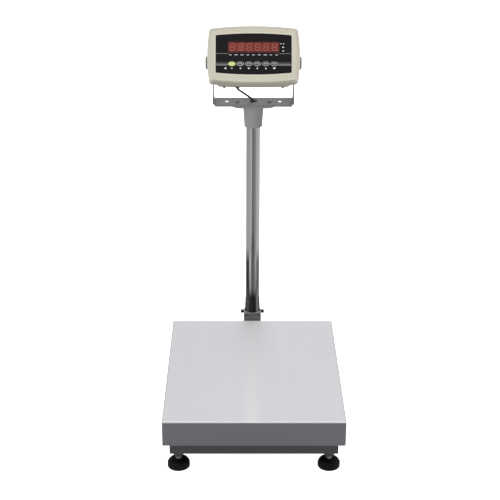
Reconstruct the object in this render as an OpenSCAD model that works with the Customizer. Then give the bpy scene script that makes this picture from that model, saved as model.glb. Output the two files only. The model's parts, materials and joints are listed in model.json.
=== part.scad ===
// Column platform scale for animals: a low weighing platform on four levelling feet, a round column
// behind it, and a tilting indicator on a yoke at the top of the column.
// X runs left to right, Y from front to back, Z up from the floor.

/* [Platform] */
// Width of the pan, left to right
pan_w = 420; // [400:5:440]
// Depth of the pan, front to back
pan_d = 520; // [500:5:560]
// Height of the pan's top above the floor
platform_h = 135; // [133:1:145]
// Height of the pan's folded skirt
pan_skirt = 60; // [50:1:62]
// Thickness of the pan's sheet
pan_sheet = 1.5; // [1:0.1:2]

/* [Base] */
// Half the width of the base frame
frame_half = 194; // [190:1:196]
// Width and height of the base rails
rail = 30; // [28:1:31]
// Wall of the base rails
rail_wall = 2.5; // [2:0.1:3]
// Distance of each foot from the pan's edges
foot_inset = 35; // [33:1:36]
// Width of a foot pad
foot_d = 52; // [48:1:56]
// Thread diameter of the feet
foot_thread_d = 10; // [8:1:12]

/* [Load cell] */
// Length of the load cell
cell_l = 150; // [140:1:160]
// Width of the load cell
cell_w = 40; // [38:1:44]
// Height of the load cell
cell_h = 24; // [22:1:24]

/* [Column] */
// Outside diameter of the column tube
tube_d = 36; // [35:0.5:36.5]
// Wall of the column tube
tube_wall = 1.5; // [1.2:0.1:2]
// Distance from the pan's back edge to the column's axis
column_gap = 45; // [44:1:60]
// Height of the yoke plate's top above the floor
yoke_h = 724; // [650:1:900]
// Width of the square socket at the column's foot
socket_w = 46; // [46:1:50]

/* [Indicator] */
// Height of the tilt axis above the yoke plate
pivot_rise = 97; // [94:1:120]
// How far the face leans back at rest, in degrees
tilt = 27; // [10:1:40]
// Width of the front bezel at its back edge
case_w = 229; // [226:1:230]
// Height of the front bezel at its back edge
case_h = 152; // [150:1:154]
// Distance from the tilt axis to the bezel's front
case_front = 35; // [35:0.5:36]
// Distance from the tilt axis to the case's back
case_back = 30; // [30:0.5:34]
// Width of the black panel
panel_w = 185; // [180:1:188]
// Height of the black panel at its middle
panel_h = 101; // [99:1:102]

/* [Hidden] */

$fn = 48;
running = 0.05;
loose = 0.3;
slice = 0.01;

// Heights of the stack under the pan, from the top down
pad_t = 3;
spacer_t = 4;
load_rail = 20;
load_top = platform_h - pan_sheet - pad_t;
load_bottom = load_top - load_rail;
cell_top = load_bottom - spacer_t;
cell_bottom = cell_top - cell_h;
rail_top = cell_bottom - spacer_t;
rail_bottom = rail_top - rail;
skirt_bottom = platform_h - pan_skirt;

// Plan of the base
frame_setback = 8;
frame_depth_half = pan_d / 2 - frame_setback;
foot_x = pan_w / 2 - foot_inset;
foot_y = pan_d / 2 - foot_inset;
foot_block = 36;
foot_block_drop = 2.5;
foot_block_bottom = rail_bottom - foot_block_drop;
beam_half = 30;
cable_r = 2.5;
cable_lane = -22;
cable_sides = 16;
cable_ref = [1, 0, 0.15];

// Load cell and its bolts
cell_end = cell_l / 2;
bolt_r = 3;
bolt_x = 10;
bolt_y1 = cell_end - 29;
bolt_y2 = cell_end - 11;
stop_gap = 0.6;
stop_y = 150;

// Foot
thread_r = foot_thread_d / 2;
pad_top = 20.5;
pad_neck_r = 11;
ball_r = 6;
ball_floor = 9;
foot_hex_h = 6;
hex_across = 13;
lock_nut_h = 14.5;
lock_nut_r = 12.4;
lock_nut_edge = 1.5;
stud_top = rail_top + 5;

// Column
tube_r = tube_d / 2;
column_back = pan_d / 2 + column_gap;
socket_half = socket_w / 2;
socket_wall = 2;
bush_w = socket_w - 2 * socket_wall - 0.2;
socket_bolt_x = 38;
socket_bolt_z = rail_bottom + 12;
socket_top = platform_h + 1;
arm_top = skirt_bottom - 3;
collar_h = 9.5;
collar_r = 23;
collar_bore = tube_r + 3;
sleeve_top = platform_h + 48;
sleeve_top_r = tube_r + 0.7;
sleeve_foot_r = tube_r + 2.7;
clamp_z = platform_h + 6;
clamp_head_r = 5;
tube_bottom = rail_bottom + 22;
bush_h = 10;
cable_z = rail_bottom + 13.5;

// Column head and yoke
yoke_t = 2;
arm_t = 2.5;
arm_out = 101;
arm_in = arm_out - arm_t;
arm_half = 15;
plate_half = 30;
lip_drop = 6;
bend_r = 5;
plate_under = yoke_h - yoke_t;
head_pad_h = 4;
flange_top = plate_under - head_pad_h;
flange_t = 5.5;
flange_bottom = flange_top - flange_t;
flange_r = 27;
flange_w = 110;
head_drop = 54;
head_bottom = flange_bottom - head_drop;
head_top_r = 26;
head_foot_r = 22.7;
tube_top = flange_bottom - 9;
screw_x = 40;
screw_y = -10;
slot_x = 66;
slot_w = 7;
slot_l = 17;
grommet_r = 7.5;
pivot_z = yoke_h + pivot_rise;

// Indicator, in the frame of its tilt axis: x across, y into the case, z up along the face
case_mid = 12.6;
bezel_back = -17.5;
bezel_wall = 3;
bulge_side = 6.5;
bulge_top = 7.5;
bezel_draft = 9;
case_trim = case_w / 2 + 9.7;
shell_w = 193;
shell_h = 146;
shell_corner = 9;
shell_bulge = 1.5;
shell_step = 4;
shell_inset = 12;
shell_wall = 2.5;
panel_mid = case_mid + 2.8;
panel_y = -33.4;
panel_t = 1.2;
panel_bulge = 4.5;
ledge_back = -30.5;
window_w = 126;
window_h = 28;
window_z = panel_mid + 16.5;
digit_pitch = 20.5;
digit_count = 6;
key_w = 18;
key_h = 11;
key_pitch = 20.7;
key_first = -53.3;
key_z = panel_mid - 24.6;
key_top = panel_y - 0.8;
key_back = panel_y + 2.2;
board_y = -26;
board_t = 1.6;
main_board_y = 20;
post_x = 76;
post_low = -34;
post_high = 58;
battery_x = 16.5;
battery_z = -9;
gland_x = -39.5;
gland_y = 5;
gland_top = -58.8;
gland_r = 4.2;
inlet_x = -58;
inlet_z = -14;
knob_r = 16;
knob_out = 118.6;
washer_t = 1;
pivot_r = 3;
boss_out = arm_in - 2;

// Centres the whole outline on Y, so that the origin is under the middle of the bounding box
shell_top_back = case_mid + shell_h / 2 - shell_inset;
case_reach = case_back * cos(tilt) + shell_top_back * sin(tilt);
pan_y = (pan_d / 2 - column_back - case_reach) / 2;
column_y = pan_y + column_back;

// ---- Helpers ----

// Block between two corners
module block(low, high) {
    translate(low)
        cube(high - low);
}

// Flat plate with round corners, centred on X and Y
module round_plate(w, d, r, h) {
    linear_extrude(h)
        round_outline(w, d, r);
}

module round_outline(w, d, r) {
    square([w - 2 * r, d], center = true);
    square([w, d - 2 * r], center = true);
    for (x = [-1, 1], y = [-1, 1])
        translate([x * (w / 2 - r), y * (d / 2 - r)])
            circle(r);
}

// Slot with round ends that runs along X
module slot_outline(l, w) {
    square([l - w, w], center = true);
    for (x = [-1, 1])
        translate([x * (l - w) / 2, 0])
            circle(d = w);
}

// Vector of length one
function unit(v) = v / norm(v);

// Direction of a path at one of its points
function heading(path, i) = unit(path[min(i + 1, len(path) - 1)] - path[max(i - 1, 0)]);

// Ring of points round a path at one of its points
function ring(path, i, r) =
    let (way = heading(path, i), side = unit(cross(way, cable_ref)), up = cross(way, side))
        [for (k = [0:cable_sides - 1])
            path[i] + r * (cos(k * 360 / cable_sides) * side + sin(k * 360 / cable_sides) * up)];

// Round cable that follows a path
module cable(path, r) {
    n = cable_sides;
    last = (len(path) - 1) * n;
    skin = [for (i = [0:len(path) - 2], k = [0:n - 1])
        [i * n + k, (i + 1) * n + k, (i + 1) * n + (k + 1) % n, i * n + (k + 1) % n]];
    caps = [[for (k = [0:n - 1]) k], [for (k = [0:n - 1]) last + n - 1 - k]];
    polyhedron([for (i = [0:len(path) - 1]) each ring(path, i, r)], concat(skin, caps));
}

// Places its children on the four corners of a rectangle
module corners(x, y) {
    for (i = [-1, 1], j = [-1, 1])
        translate([i * x, j * y, 0])
            children();
}

// Hexagon prism by its width across flats
module hexagon(across, h) {
    cylinder(d = across / cos(30), h = h, $fn = 6);
}

// Puts its children on the platform's centre
module at_pan() {
    translate([0, pan_y, 0])
        children();
}

// Puts its children on the column's axis
module at_column() {
    translate([0, column_y, 0])
        children();
}

// Puts its children on the tilt axis, leaning back with the face
module at_indicator() {
    translate([0, column_y, pivot_z])
        rotate([-tilt, 0, 0])
            children();
}

// Raises an outline drawn in x and z along y, from one depth to the other
module face_plate(y_from, y_to) {
    translate([0, y_to, 0])
        rotate([90, 0, 0])
            linear_extrude(y_to - y_from)
                children();
}

// Radius of an arc from its half chord and its rise
function arc_r(half, rise) = (half * half + rise * rise) / (2 * rise);

// ---- Platform ----

// Box whose top edges are bent to a radius
module bent_box(w, d, h, r) {
    intersection() {
        round_plate(w, d, r, h);
        translate([0, d / 2, 0])
            rotate([90, 0, 0])
                linear_extrude(d)
                    bent_profile(w, h, r);
        translate([-w / 2, 0, 0])
            rotate([90, 0, 90])
                linear_extrude(w)
                    bent_profile(d, h, r);
    }
}

module bent_profile(w, h, r) {
    translate([-w / 2, 0])
        square([w, h - r]);
    translate([-w / 2 + r, 0])
        square([w - 2 * r, h]);
    for (x = [-1, 1])
        translate([x * (w / 2 - r), h - r])
            circle(r);
}

module platter() {
    color("gainsboro")
        at_pan()
            translate([0, 0, skirt_bottom])
                difference() {
                    bent_box(pan_w, pan_d, pan_skirt, pan_sheet * 2);
                    translate([0, 0, -pan_sheet])
                        bent_box(pan_w - 2 * pan_sheet, pan_d - 2 * pan_sheet, pan_skirt, pan_sheet);
                }
}

module platter_pads() {
    color("dimgray")
        at_pan()
            corners(pan_w / 2 - 20, pan_d / 2 - 30)
                translate([0, 0, load_top])
                    cylinder(r = 9, h = pad_t);
}

module load_frame() {
    half_w = pan_w / 2 - 10;
    half_d = pan_d / 2 - 20;
    plate_y = [bolt_y1 - 16, bolt_y2 + 16];
    wall = 2;
    under = load_bottom - 1;
    color("slategray")
        at_pan()
            difference() {
                union() {
                    for (x = [-1, 1])
                        block([x * (half_w - load_rail / 2) - load_rail / 2, -half_d, load_bottom],
                            [x * (half_w - load_rail / 2) + load_rail / 2, half_d, load_top]);
                    for (y = [-1, 1])
                        block([-half_w + 1, y * (half_d - load_rail / 2) - load_rail / 2, load_bottom],
                            [half_w - 1, y * (half_d - load_rail / 2) + load_rail / 2, load_top]);
                    block([-half_w + 1, plate_y[0], load_bottom], [half_w - 1, plate_y[1], load_top]);
                }
                // The side rails are open below, except where the overload stops meet them
                for (x = [-1, 1], part = [[-half_d + wall, -stop_y - 8], [-stop_y + 8, stop_y - 8],
                    [stop_y + 8, half_d - wall]])
                    block([x * (half_w - load_rail / 2) - load_rail / 2 + wall, part[0], under],
                        [x * (half_w - load_rail / 2) + load_rail / 2 - wall, part[1], load_top - wall]);
                for (y = [-1, 1])
                    block([-half_w + wall + 5, y * (half_d - load_rail / 2) - load_rail / 2 + wall, under],
                        [half_w - wall - 5, y * (half_d - load_rail / 2) + load_rail / 2 - wall,
                            load_top - wall]);
                for (x = [-1, 1])
                    block([x * 105 - 74, plate_y[0] + wall, under],
                        [x * 105 + 74, plate_y[1] - wall, load_top - wall]);
                // Bolt holes of the cell's live end, with head recesses
                for (x = [-bolt_x, bolt_x], y = [bolt_y1, bolt_y2]) {
                    translate([x, y, under])
                        cylinder(r = bolt_r + loose, h = load_rail + 2);
                    translate([x, y, load_top - 7])
                        cylinder(r = 5.5, h = 8);
                }
            }
}

// ---- Load cell ----

module load_cell() {
    bore_r = cell_h / 2 - 4;
    mid = (cell_top + cell_bottom) / 2;
    color("silver")
        at_pan() {
            difference() {
                block([-cell_w / 2, -cell_end, cell_bottom], [cell_w / 2, cell_end, cell_top]);
                for (y = [-14, 14])
                    translate([-cell_w / 2 - 1, y, mid])
                        rotate([0, 90, 0])
                            cylinder(r = bore_r, h = cell_w + 2);
                block([-cell_w / 2 - 1, -14, mid - 2.5], [cell_w / 2 + 1, 14, mid + 2.5]);
                for (x = [-bolt_x, bolt_x], y = [bolt_y1, bolt_y2]) {
                    translate([x, -y, cell_bottom - 1])
                        cylinder(r = bolt_r + running, h = 17);
                    translate([x, y, cell_top - 16])
                        cylinder(r = bolt_r + running, h = 17);
                }
            }
            // Cover plates over the gauges
            for (x = [-1, 1])
                translate([x * (cell_w / 2 + 0.5), 0, mid])
                    rotate([0, 90, 0])
                        translate([0, 0, -0.6])
                            round_plate(20, 58, 3, 1.2);
        }
}

// Spacer plate with four bolt holes, at the fixed end or at the live end
module cell_spacer(side, bottom) {
    low = bolt_y1 - 9;
    high = cell_end;
    color("darkgray")
        at_pan()
            difference() {
                block([-cell_w / 2, min(side * low, side * high), bottom],
                    [cell_w / 2, max(side * low, side * high), bottom + spacer_t]);
                for (x = [-bolt_x, bolt_x], y = [bolt_y1, bolt_y2])
                    translate([x, side * y, bottom - 1])
                        cylinder(r = bolt_r + loose, h = spacer_t + 2);
            }
}

module lower_spacer() {
    cell_spacer(-1, rail_top);
}

module upper_spacer() {
    cell_spacer(1, cell_top);
}

// Socket-head bolt that points down from its seat
module cell_bolt(length) {
    difference() {
        union() {
            cylinder(r = bolt_r * 5 / 3, h = 6);
            translate([0, 0, -length])
                cylinder(r = bolt_r, h = length);
        }
        translate([0, 0, 3])
            hexagon(5, 4);
    }
}

module lower_cell_bolts() {
    color("dimgray")
        at_pan()
            for (x = [-bolt_x, bolt_x], y = [bolt_y1, bolt_y2])
                translate([x, -y, rail_bottom + 7])
                    rotate([180, 0, 0])
                        cell_bolt(rail - 7 + spacer_t + 12);
}

module upper_cell_bolts() {
    color("dimgray")
        at_pan()
            for (x = [-bolt_x, bolt_x], y = [bolt_y1, bolt_y2])
                translate([x, y, load_top - 7])
                    cell_bolt(load_rail - 7 + spacer_t + 12);
}

module overload_stops() {
    color("silver")
        at_pan()
            corners(frame_half - 9, stop_y)
                translate([0, 0, rail_top]) {
                    hexagon(13, 6);
                    cylinder(r = 4, h = load_bottom - stop_gap - rail_top);
                }
}

// ---- Base ----

// Rail pressed as a channel, open below
module rail_cavity(low, high) {
    block([low[0] + rail_wall, low[1] + rail_wall, rail_bottom - 1],
        [high[0] - rail_wall, high[1] - rail_wall, rail_top - rail_wall]);
}

module base_frame() {
    side_in = frame_half - rail;
    end_in = frame_depth_half - rail;
    block_y = [-bolt_y2 - 14, -bolt_y1 + 10];
    color("#4a4a4c")
        at_pan()
            difference() {
                union() {
                    for (x = [-1, 1])
                        block([min(x * side_in, x * frame_half), -frame_depth_half, rail_bottom],
                            [max(x * side_in, x * frame_half), frame_depth_half, rail_top]);
                    for (y = [-1, 1])
                        block([-frame_half, min(y * end_in, y * frame_depth_half), rail_bottom],
                            [frame_half, max(y * end_in, y * frame_depth_half), rail_top]);
                    block([-beam_half, -end_in - 1, rail_bottom], [beam_half, end_in + 1, rail_top]);
                    corners(foot_x, foot_y)
                        block([-foot_block / 2, -foot_block / 2, foot_block_bottom],
                            [foot_block / 2, foot_block / 2, rail_top]);
                }
                for (x = [-1, 1])
                    rail_cavity([min(x * side_in, x * frame_half), -foot_y + foot_block / 2 - rail_wall],
                        [max(x * side_in, x * frame_half), foot_y - foot_block / 2 + rail_wall]);
                for (y = [-1, 1])
                    rail_cavity([-foot_x + foot_block / 2 - rail_wall, min(y * end_in, y * frame_depth_half)],
                        [foot_x - foot_block / 2 + rail_wall, max(y * end_in, y * frame_depth_half)]);
                // The centre beam is hollow ahead of and behind the cell's seat
                rail_cavity([-beam_half, -end_in - 4], [beam_half, block_y[0]]);
                rail_cavity([-beam_half, block_y[1]], [beam_half, end_in + 4]);
                // Lane for the cable beside the seat
                block([-beam_half + rail_wall, block_y[0] - 4, rail_bottom - 1],
                    [cable_lane + 4, block_y[1] + 4, rail_top - rail_wall]);
                translate([cable_lane, -cell_end - 20, rail_top - 4])
                    cylinder(r = 4.5, h = 5);
                block([cable_lane - 4, end_in - 2, rail_bottom - 1],
                    [cable_lane + 4, end_in + 4, rail_top - rail_wall]);
                // Bolt holes of the cell's fixed end, with head recesses below
                for (x = [-bolt_x, bolt_x], y = [bolt_y1, bolt_y2]) {
                    translate([x, -y, rail_bottom - 1])
                        cylinder(r = bolt_r + loose, h = rail + 2);
                    translate([x, -y, rail_bottom - 1])
                        cylinder(r = 5.5, h = 8);
                }
                // Threads of the feet
                corners(foot_x, foot_y)
                    translate([0, 0, foot_block_bottom - 1])
                        cylinder(r = thread_r + running, h = rail_top - foot_block_bottom + 2);
                // Cable outlet and bolt holes towards the column socket
                socket_holes(rail_wall, 0);
            }
}

// Cable hole and bolt holes through the joint of base frame and column socket
module socket_holes(ahead, behind) {
    length = ahead + behind + 2;
    translate([0, frame_depth_half + behind + 1, cable_z])
        rotate([90, 0, 0])
            cylinder(r = 7, h = length);
    for (x = [-socket_bolt_x, socket_bolt_x])
        translate([x, frame_depth_half + behind + 1, socket_bolt_z])
            rotate([90, 0, 0])
                cylinder(r = bolt_r + loose, h = length);
}

// Round lock nuts, turned by hand up against the foot blocks
module foot_lock_nuts() {
    color("#4a4a4c")
        at_pan()
            corners(foot_x, foot_y)
                translate([0, 0, foot_block_bottom - lock_nut_h])
                    difference() {
                        union() {
                            cylinder(r1 = lock_nut_r - lock_nut_edge, r2 = lock_nut_r, h = lock_nut_edge);
                            translate([0, 0, lock_nut_edge])
                                cylinder(r = lock_nut_r, h = lock_nut_h - lock_nut_edge);
                        }
                        translate([0, 0, -1])
                            cylinder(r = thread_r + running, h = lock_nut_h + 2);
                    }
}

// Domed foot pad with a short neck that holds the stud's end
module foot_pad(x, y) {
    rim = 8;
    rim_round = 12;
    r = foot_d / 2;
    color("#1b1b1b")
        at_pan()
            translate([x * foot_x, y * foot_y, 0])
                difference() {
                    rotate_extrude() {
                        square([r, rim]);
                        square([r - rim_round, rim + rim_round]);
                        intersection() {
                            square([r, rim + rim_round]);
                            translate([r - rim_round, rim])
                                circle(rim_round);
                        }
                        square([pad_neck_r, pad_top]);
                    }
                    translate([0, 0, ball_floor])
                        cylinder(r = ball_r + running, h = pad_top);
                }
}

module foot_pad_front_left() {
    foot_pad(-1, -1);
}

module foot_pad_front_right() {
    foot_pad(1, -1);
}

module foot_pad_back_left() {
    foot_pad(-1, 1);
}

module foot_pad_back_right() {
    foot_pad(1, 1);
}

// Threaded stud with a plain lower end and a hexagon for the spanner
module foot_stud(x, y) {
    gap = 0.1;
    hex_bottom = pad_top + gap;
    color("silver")
        at_pan()
            translate([x * foot_x, y * foot_y, 0]) {
                translate([0, 0, ball_floor + gap])
                    cylinder(r = ball_r, h = hex_bottom - ball_floor);
                translate([0, 0, hex_bottom])
                    hexagon(hex_across, foot_hex_h);
                translate([0, 0, hex_bottom])
                    cylinder(r = thread_r, h = stud_top - hex_bottom);
            }
}

module foot_stud_front_left() {
    foot_stud(-1, -1);
}

module foot_stud_front_right() {
    foot_stud(1, -1);
}

module foot_stud_back_left() {
    foot_stud(-1, 1);
}

module foot_stud_back_right() {
    foot_stud(1, 1);
}

module base_cable() {
    mid = (cell_top + cell_bottom) / 2;
    down_y = -cell_end - 20;
    color("#202020")
        at_pan()
            cable([[-8, -cell_end - 1, mid], [-8, -cell_end - 8, mid], [-12, -cell_end - 14, mid - 1],
                [cable_lane, down_y, mid - 10], [cable_lane, down_y, cable_z + 8],
                [cable_lane, down_y + 3, cable_z], [cable_lane, frame_depth_half - 24, cable_z],
                [0, frame_depth_half - 12, cable_z], [0, column_back - 6, cable_z],
                [0, column_back, cable_z + 5], [0, column_back, tube_bottom - 0.1]], cable_r);
}

module level_housing() {
    color("#303030")
        at_pan()
            translate([0, pan_d / 2 + 10.5, arm_top])
                difference() {
                    cylinder(r = 8, h = 8);
                    translate([0, 0, 2])
                        cylinder(r = 6.5, h = 7);
                }
}

module level_vial() {
    color("palegreen")
        at_pan()
            translate([0, pan_d / 2 + 10.5, arm_top + 2])
                cylinder(r = 6.5, h = 5.5);
}

// ---- Column socket ----

module column_socket() {
    wall = socket_wall;
    flange_y = frame_depth_half;
    color("#4f4f51")
        difference() {
            union() {
                at_column()
                    translate([0, 0, rail_bottom])
                        round_plate(socket_w, socket_w, 5, socket_top - rail_bottom);
                at_pan() {
                    block([-socket_half, flange_y, rail_bottom], [socket_half, column_back - 20, arm_top]);
                    block([-50, flange_y, rail_bottom], [50, flange_y + 4, arm_top]);
                }
            }
            at_column()
                translate([0, 0, rail_bottom - 1])
                    round_plate(socket_w - 2 * wall, socket_w - 2 * wall, 3, socket_top - rail_bottom + 2);
            at_pan() {
                block([-socket_half + wall, flange_y + 4, rail_bottom - 1],
                    [socket_half - wall, column_back - 18, arm_top - wall]);
                socket_holes(0, 4);
            }
        }
}

module socket_bolts() {
    length = 12;
    color("silver")
        at_pan()
            for (x = [-socket_bolt_x, socket_bolt_x])
                translate([x, frame_depth_half + 4, socket_bolt_z])
                    rotate([90, 0, 0]) {
                        translate([0, 0, -2.4])
                            hexagon(10, 2.4);
                        cylinder(r = bolt_r, h = length);
                    }
}

module lower_bush() {
    color("#2a2a2a")
        at_column()
            translate([0, 0, tube_bottom])
                difference() {
                    translate([0, 0, -2])
                        round_plate(bush_w, bush_w, 3, bush_h);
                    cylinder(r = tube_r + running, h = bush_h);
                    translate([0, 0, -3])
                        cylinder(r = cable_r + 4, h = 4);
                }
}

module clamp_collar() {
    color("#6a6a6c")
        at_column()
            translate([0, 0, socket_top])
                difference() {
                    cylinder(r = collar_r, h = collar_h, $fn = 96);
                    translate([0, 0, -1])
                        cylinder(r = collar_bore, h = collar_h + 2);
                    translate([-collar_r - 1, 0, clamp_z - socket_top])
                        rotate([0, 90, 0])
                            cylinder(r = 2.5 + running, h = 2 * collar_r + 2);
                }
}

module clamp_sleeve() {
    foot = socket_top - 18;
    color("#262626")
        at_column()
            difference() {
                union() {
                    translate([0, 0, socket_top])
                        cylinder(r1 = sleeve_foot_r, r2 = sleeve_top_r, h = sleeve_top - socket_top);
                    translate([0, 0, foot])
                        cylinder(r = sleeve_foot_r, h = socket_top - foot);
                    translate([0, 0, foot])
                        round_plate(bush_w, bush_w, 3, 10);
                }
                translate([0, 0, foot - 1])
                    cylinder(r = tube_r + running, h = sleeve_top - foot + 2);
            }
}

// Headed screw through one side of the clamp collar
module clamp_screw(side) {
    tip = sleeve_foot_r + 0.1;
    color("#0e0e0e")
        at_column()
            translate([0, 0, clamp_z])
                rotate([0, side * 90, 0]) {
                    translate([0, 0, tip])
                        cylinder(r = 2.5, h = collar_r + 1 - tip);
                    translate([0, 0, collar_r + 0.4])
                        difference() {
                            cylinder(r = clamp_head_r, h = 7.6);
                            translate([0, 0, 3])
                                hexagon(4, 4);
                        }
                }
}

module clamp_screw_left() {
    clamp_screw(-1);
}

module clamp_screw_right() {
    clamp_screw(1);
}

// ---- Column ----

module column_tube() {
    color("silver")
        at_column()
            translate([0, 0, tube_bottom])
                difference() {
                    cylinder(r = tube_r, h = tube_top - tube_bottom, $fn = 96);
                    translate([0, 0, -1])
                        cylinder(r = tube_r - tube_wall, h = tube_top - tube_bottom + 2);
                }
}

module column_head() {
    bottom_round = 3;
    bore_h = tube_top - head_bottom;
    color("#848486")
        at_column()
            difference() {
                union() {
                    translate([0, 0, head_bottom])
                        rotate_extrude($fn = 96) {
                            polygon([[0, 0], [head_foot_r - bottom_round, 0], [head_foot_r, bottom_round],
                                [head_top_r, head_drop], [head_top_r, head_drop + 1], [0, head_drop + 1]]);
                            intersection() {
                                square([head_foot_r, bottom_round]);
                                translate([head_foot_r - bottom_round, bottom_round])
                                    circle(bottom_round);
                            }
                        }
                    translate([0, 0, flange_bottom])
                        linear_extrude(flange_t)
                            slot_outline(flange_w, 2 * flange_r);
                    translate([0, 0, flange_top - 1])
                        round_plate(flange_w - 10, 36, 6, head_pad_h + 1);
                }
                translate([0, 0, head_bottom - 1])
                    cylinder(r = tube_r + running, h = bore_h + 1);
                // Way for the cable, wide enough for the grommet's lower flange
                translate([0, 0, head_bottom + bore_h - 1])
                    cylinder(r = 10.5, h = head_drop);
                for (x = [-screw_x, screw_x])
                    translate([x, screw_y, flange_bottom - 1])
                        cylinder(r = 2.5 + running, h = 20);
                set_screw_place()
                    cylinder(r = 2.5 + running, h = 20);
            }
}

// Puts its children at the set screw's tip, pointing outwards and to the front right
module set_screw_place() {
    translate([0, 0, head_bottom + 14])
        rotate([0, 0, -50])
            rotate([0, 90, 0])
                translate([0, 0, tube_r + running])
                    children();
}

module head_set_screw() {
    color("#303030")
        at_column()
            set_screw_place()
                difference() {
                    cylinder(r = 2.5, h = 4);
                    translate([0, 0, 2])
                        hexagon(2.5, 3);
                }
}

// ---- Yoke ----

// U shape of the yoke, seen from the front, measured from the plate's top
module yoke_profile() {
    top = pivot_rise + arm_half + 1;
    difference() {
        yoke_solid(arm_out, -yoke_t, bend_r, top);
        yoke_solid(arm_in, 0, bend_r - arm_t, top + 1);
    }
}

module yoke_solid(half, bottom, r, top) {
    translate([-half, bottom + r])
        square([2 * half, top - bottom - r]);
    translate([-half + r, bottom])
        square([2 * half - 2 * r, r + 1]);
    for (x = [-1, 1])
        translate([x * (half - r), bottom + r])
            circle(r);
}

// Outline of an arm, seen from the side: wide at the plate, round at the tilt axis
module arm_outline() {
    flare_low = 8;
    flare_high = 26;
    translate([-plate_half, -yoke_t])
        square([2 * plate_half, flare_low + yoke_t]);
    polygon([[-plate_half, flare_low], [plate_half, flare_low], [arm_half, flare_high],
        [-arm_half, flare_high]]);
    translate([-arm_half, flare_high - 1])
        square([2 * arm_half, pivot_rise - flare_high + 1]);
    translate([0, pivot_rise])
        circle(arm_half);
}

module yoke() {
    color("#757577")
        at_column()
            translate([0, 0, yoke_h])
                difference() {
                    union() {
                        intersection() {
                            translate([0, plate_half, 0])
                                rotate([90, 0, 0])
                                    linear_extrude(2 * plate_half)
                                        yoke_profile();
                            translate([-arm_out, 0, 0])
                                rotate([90, 0, 90])
                                    linear_extrude(2 * arm_out)
                                        arm_outline();
                        }
                        // Folded front lip
                        block([-arm_out + bend_r, -plate_half, -lip_drop],
                            [arm_out - bend_r, -plate_half + yoke_t, -0.5]);
                    }
                    for (x = [-slot_x, slot_x])
                        translate([x, 0, -yoke_t - 1])
                            rotate([0, 0, 90])
                                linear_extrude(yoke_t + 2)
                                    slot_outline(slot_l, slot_w);
                    for (x = [-screw_x, screw_x])
                        translate([x, screw_y, -yoke_t - 1])
                            cylinder(r = 2.5 + loose, h = yoke_t + 2);
                    translate([0, 0, -yoke_t - 1])
                        cylinder(r = grommet_r, h = yoke_t + 2);
                    translate([-arm_out - 1, 0, pivot_rise])
                        rotate([0, 90, 0])
                            cylinder(r = pivot_r + loose, h = 2 * arm_out + 2);
                }
}

module yoke_screws() {
    color("#757577")
        at_column()
            for (x = [-screw_x, screw_x])
                translate([x, screw_y, yoke_h])
                    difference() {
                        union() {
                            cylinder(r = 4.5, h = 2.8);
                            translate([0, 0, -11])
                                cylinder(r = 2.5, h = 12);
                        }
                        for (a = [0, 90])
                            rotate([0, 0, a])
                                translate([-2.5, -0.5, 1.4])
                                    cube([5, 1, 2]);
                    }
}

module cable_grommet() {
    color("#161616")
        at_column()
            translate([0, 0, yoke_h])
                difference() {
                    union() {
                        cylinder(r = grommet_r + 2, h = 1.6);
                        translate([0, 0, -yoke_t])
                            cylinder(r = grommet_r, h = yoke_t);
                        translate([0, 0, -yoke_t - 1.6])
                            cylinder(r = grommet_r + 2, h = 1.6);
                    }
                    translate([0, 0, -yoke_t - 3])
                        cylinder(r = cable_r + loose, h = yoke_t + 6);
                }
}

// Turns a point on the face into the row's frame
function lean(p) = [p[0], column_y + p[1] * cos(tilt) + p[2] * sin(tilt),
    pivot_z - p[1] * sin(tilt) + p[2] * cos(tilt)];

// Point of a cubic curve
function curve(a, b, c, d, t) = a * pow(1 - t, 3) + b * 3 * t * pow(1 - t, 2)
    + c * 3 * t * t * (1 - t) + d * pow(t, 3);

module signal_cable() {
    bottom = [0, column_y, tube_bottom];
    leaves = [0, column_y, yoke_h + 1.6];
    enters = lean([gland_x, gland_y, gland_top - 4]);
    inside = lean([gland_x, gland_y, gland_top + 4]);
    rise = leaves + [-3, -1.5, 9];
    hang = lean([gland_x, gland_y, gland_top - 12]);
    steps = 14;
    color("#141414")
        cable(concat([bottom], [for (i = [0:steps]) curve(leaves, rise, hang, enters, i / steps)],
            [inside]), cable_r);
}

// ---- Indicator case ----

// Outline of the rear shell, whose four sides bow outwards and whose corners are round
module barrel(inset) {
    side = arc_r(shell_h / 2, shell_bulge);
    top = arc_r(shell_w / 2, shell_bulge);
    offset(r = shell_corner, $fn = 24)
        offset(delta = -shell_corner - inset)
            intersection_for (s = [-1, 1])
                intersection() {
                    translate([s * (shell_w / 2 - side), 0])
                        circle(side, $fn = 240);
                    translate([0, s * (shell_h / 2 - top)])
                        circle(top, $fn = 360);
                }
}

// Block whose four sides bow outwards and close in towards the front, between two depths
module bowed(inset, y_from, y_to) {
    h = y_to - y_from;
    lean_in = bezel_draft * h / (case_front + bezel_back);
    start = inset + bezel_draft * (bezel_back - y_to) / (case_front + bezel_back);
    side = arc_r(case_h / 2, bulge_side);
    top = arc_r(case_w / 2, bulge_top);
    translate([0, y_to, case_mid])
        rotate([90, 0, 0])
            intersection() {
                for_sides(case_w / 2 - side)
                    cylinder(r1 = side - start, r2 = side - start - lean_in, h = h, $fn = 720);
                rotate([0, 0, 90])
                    for_sides(case_h / 2 - top)
                        cylinder(r1 = top - start, r2 = top - start - lean_in, h = h, $fn = 1440);
                cylinder(r1 = case_trim - start, r2 = case_trim - start - lean_in, h = h, $fn = 360);
            }
}

// Keeps what two mirrored children share
module for_sides(x) {
    intersection_for (s = [-1, 1])
        translate([s * x, 0])
            children();
}

// Thin slice of the rear shell's outline at a depth
module case_slice(inset, y) {
    face_plate(y, y + slice)
        translate([0, case_mid])
            barrel(inset);
}

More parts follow.
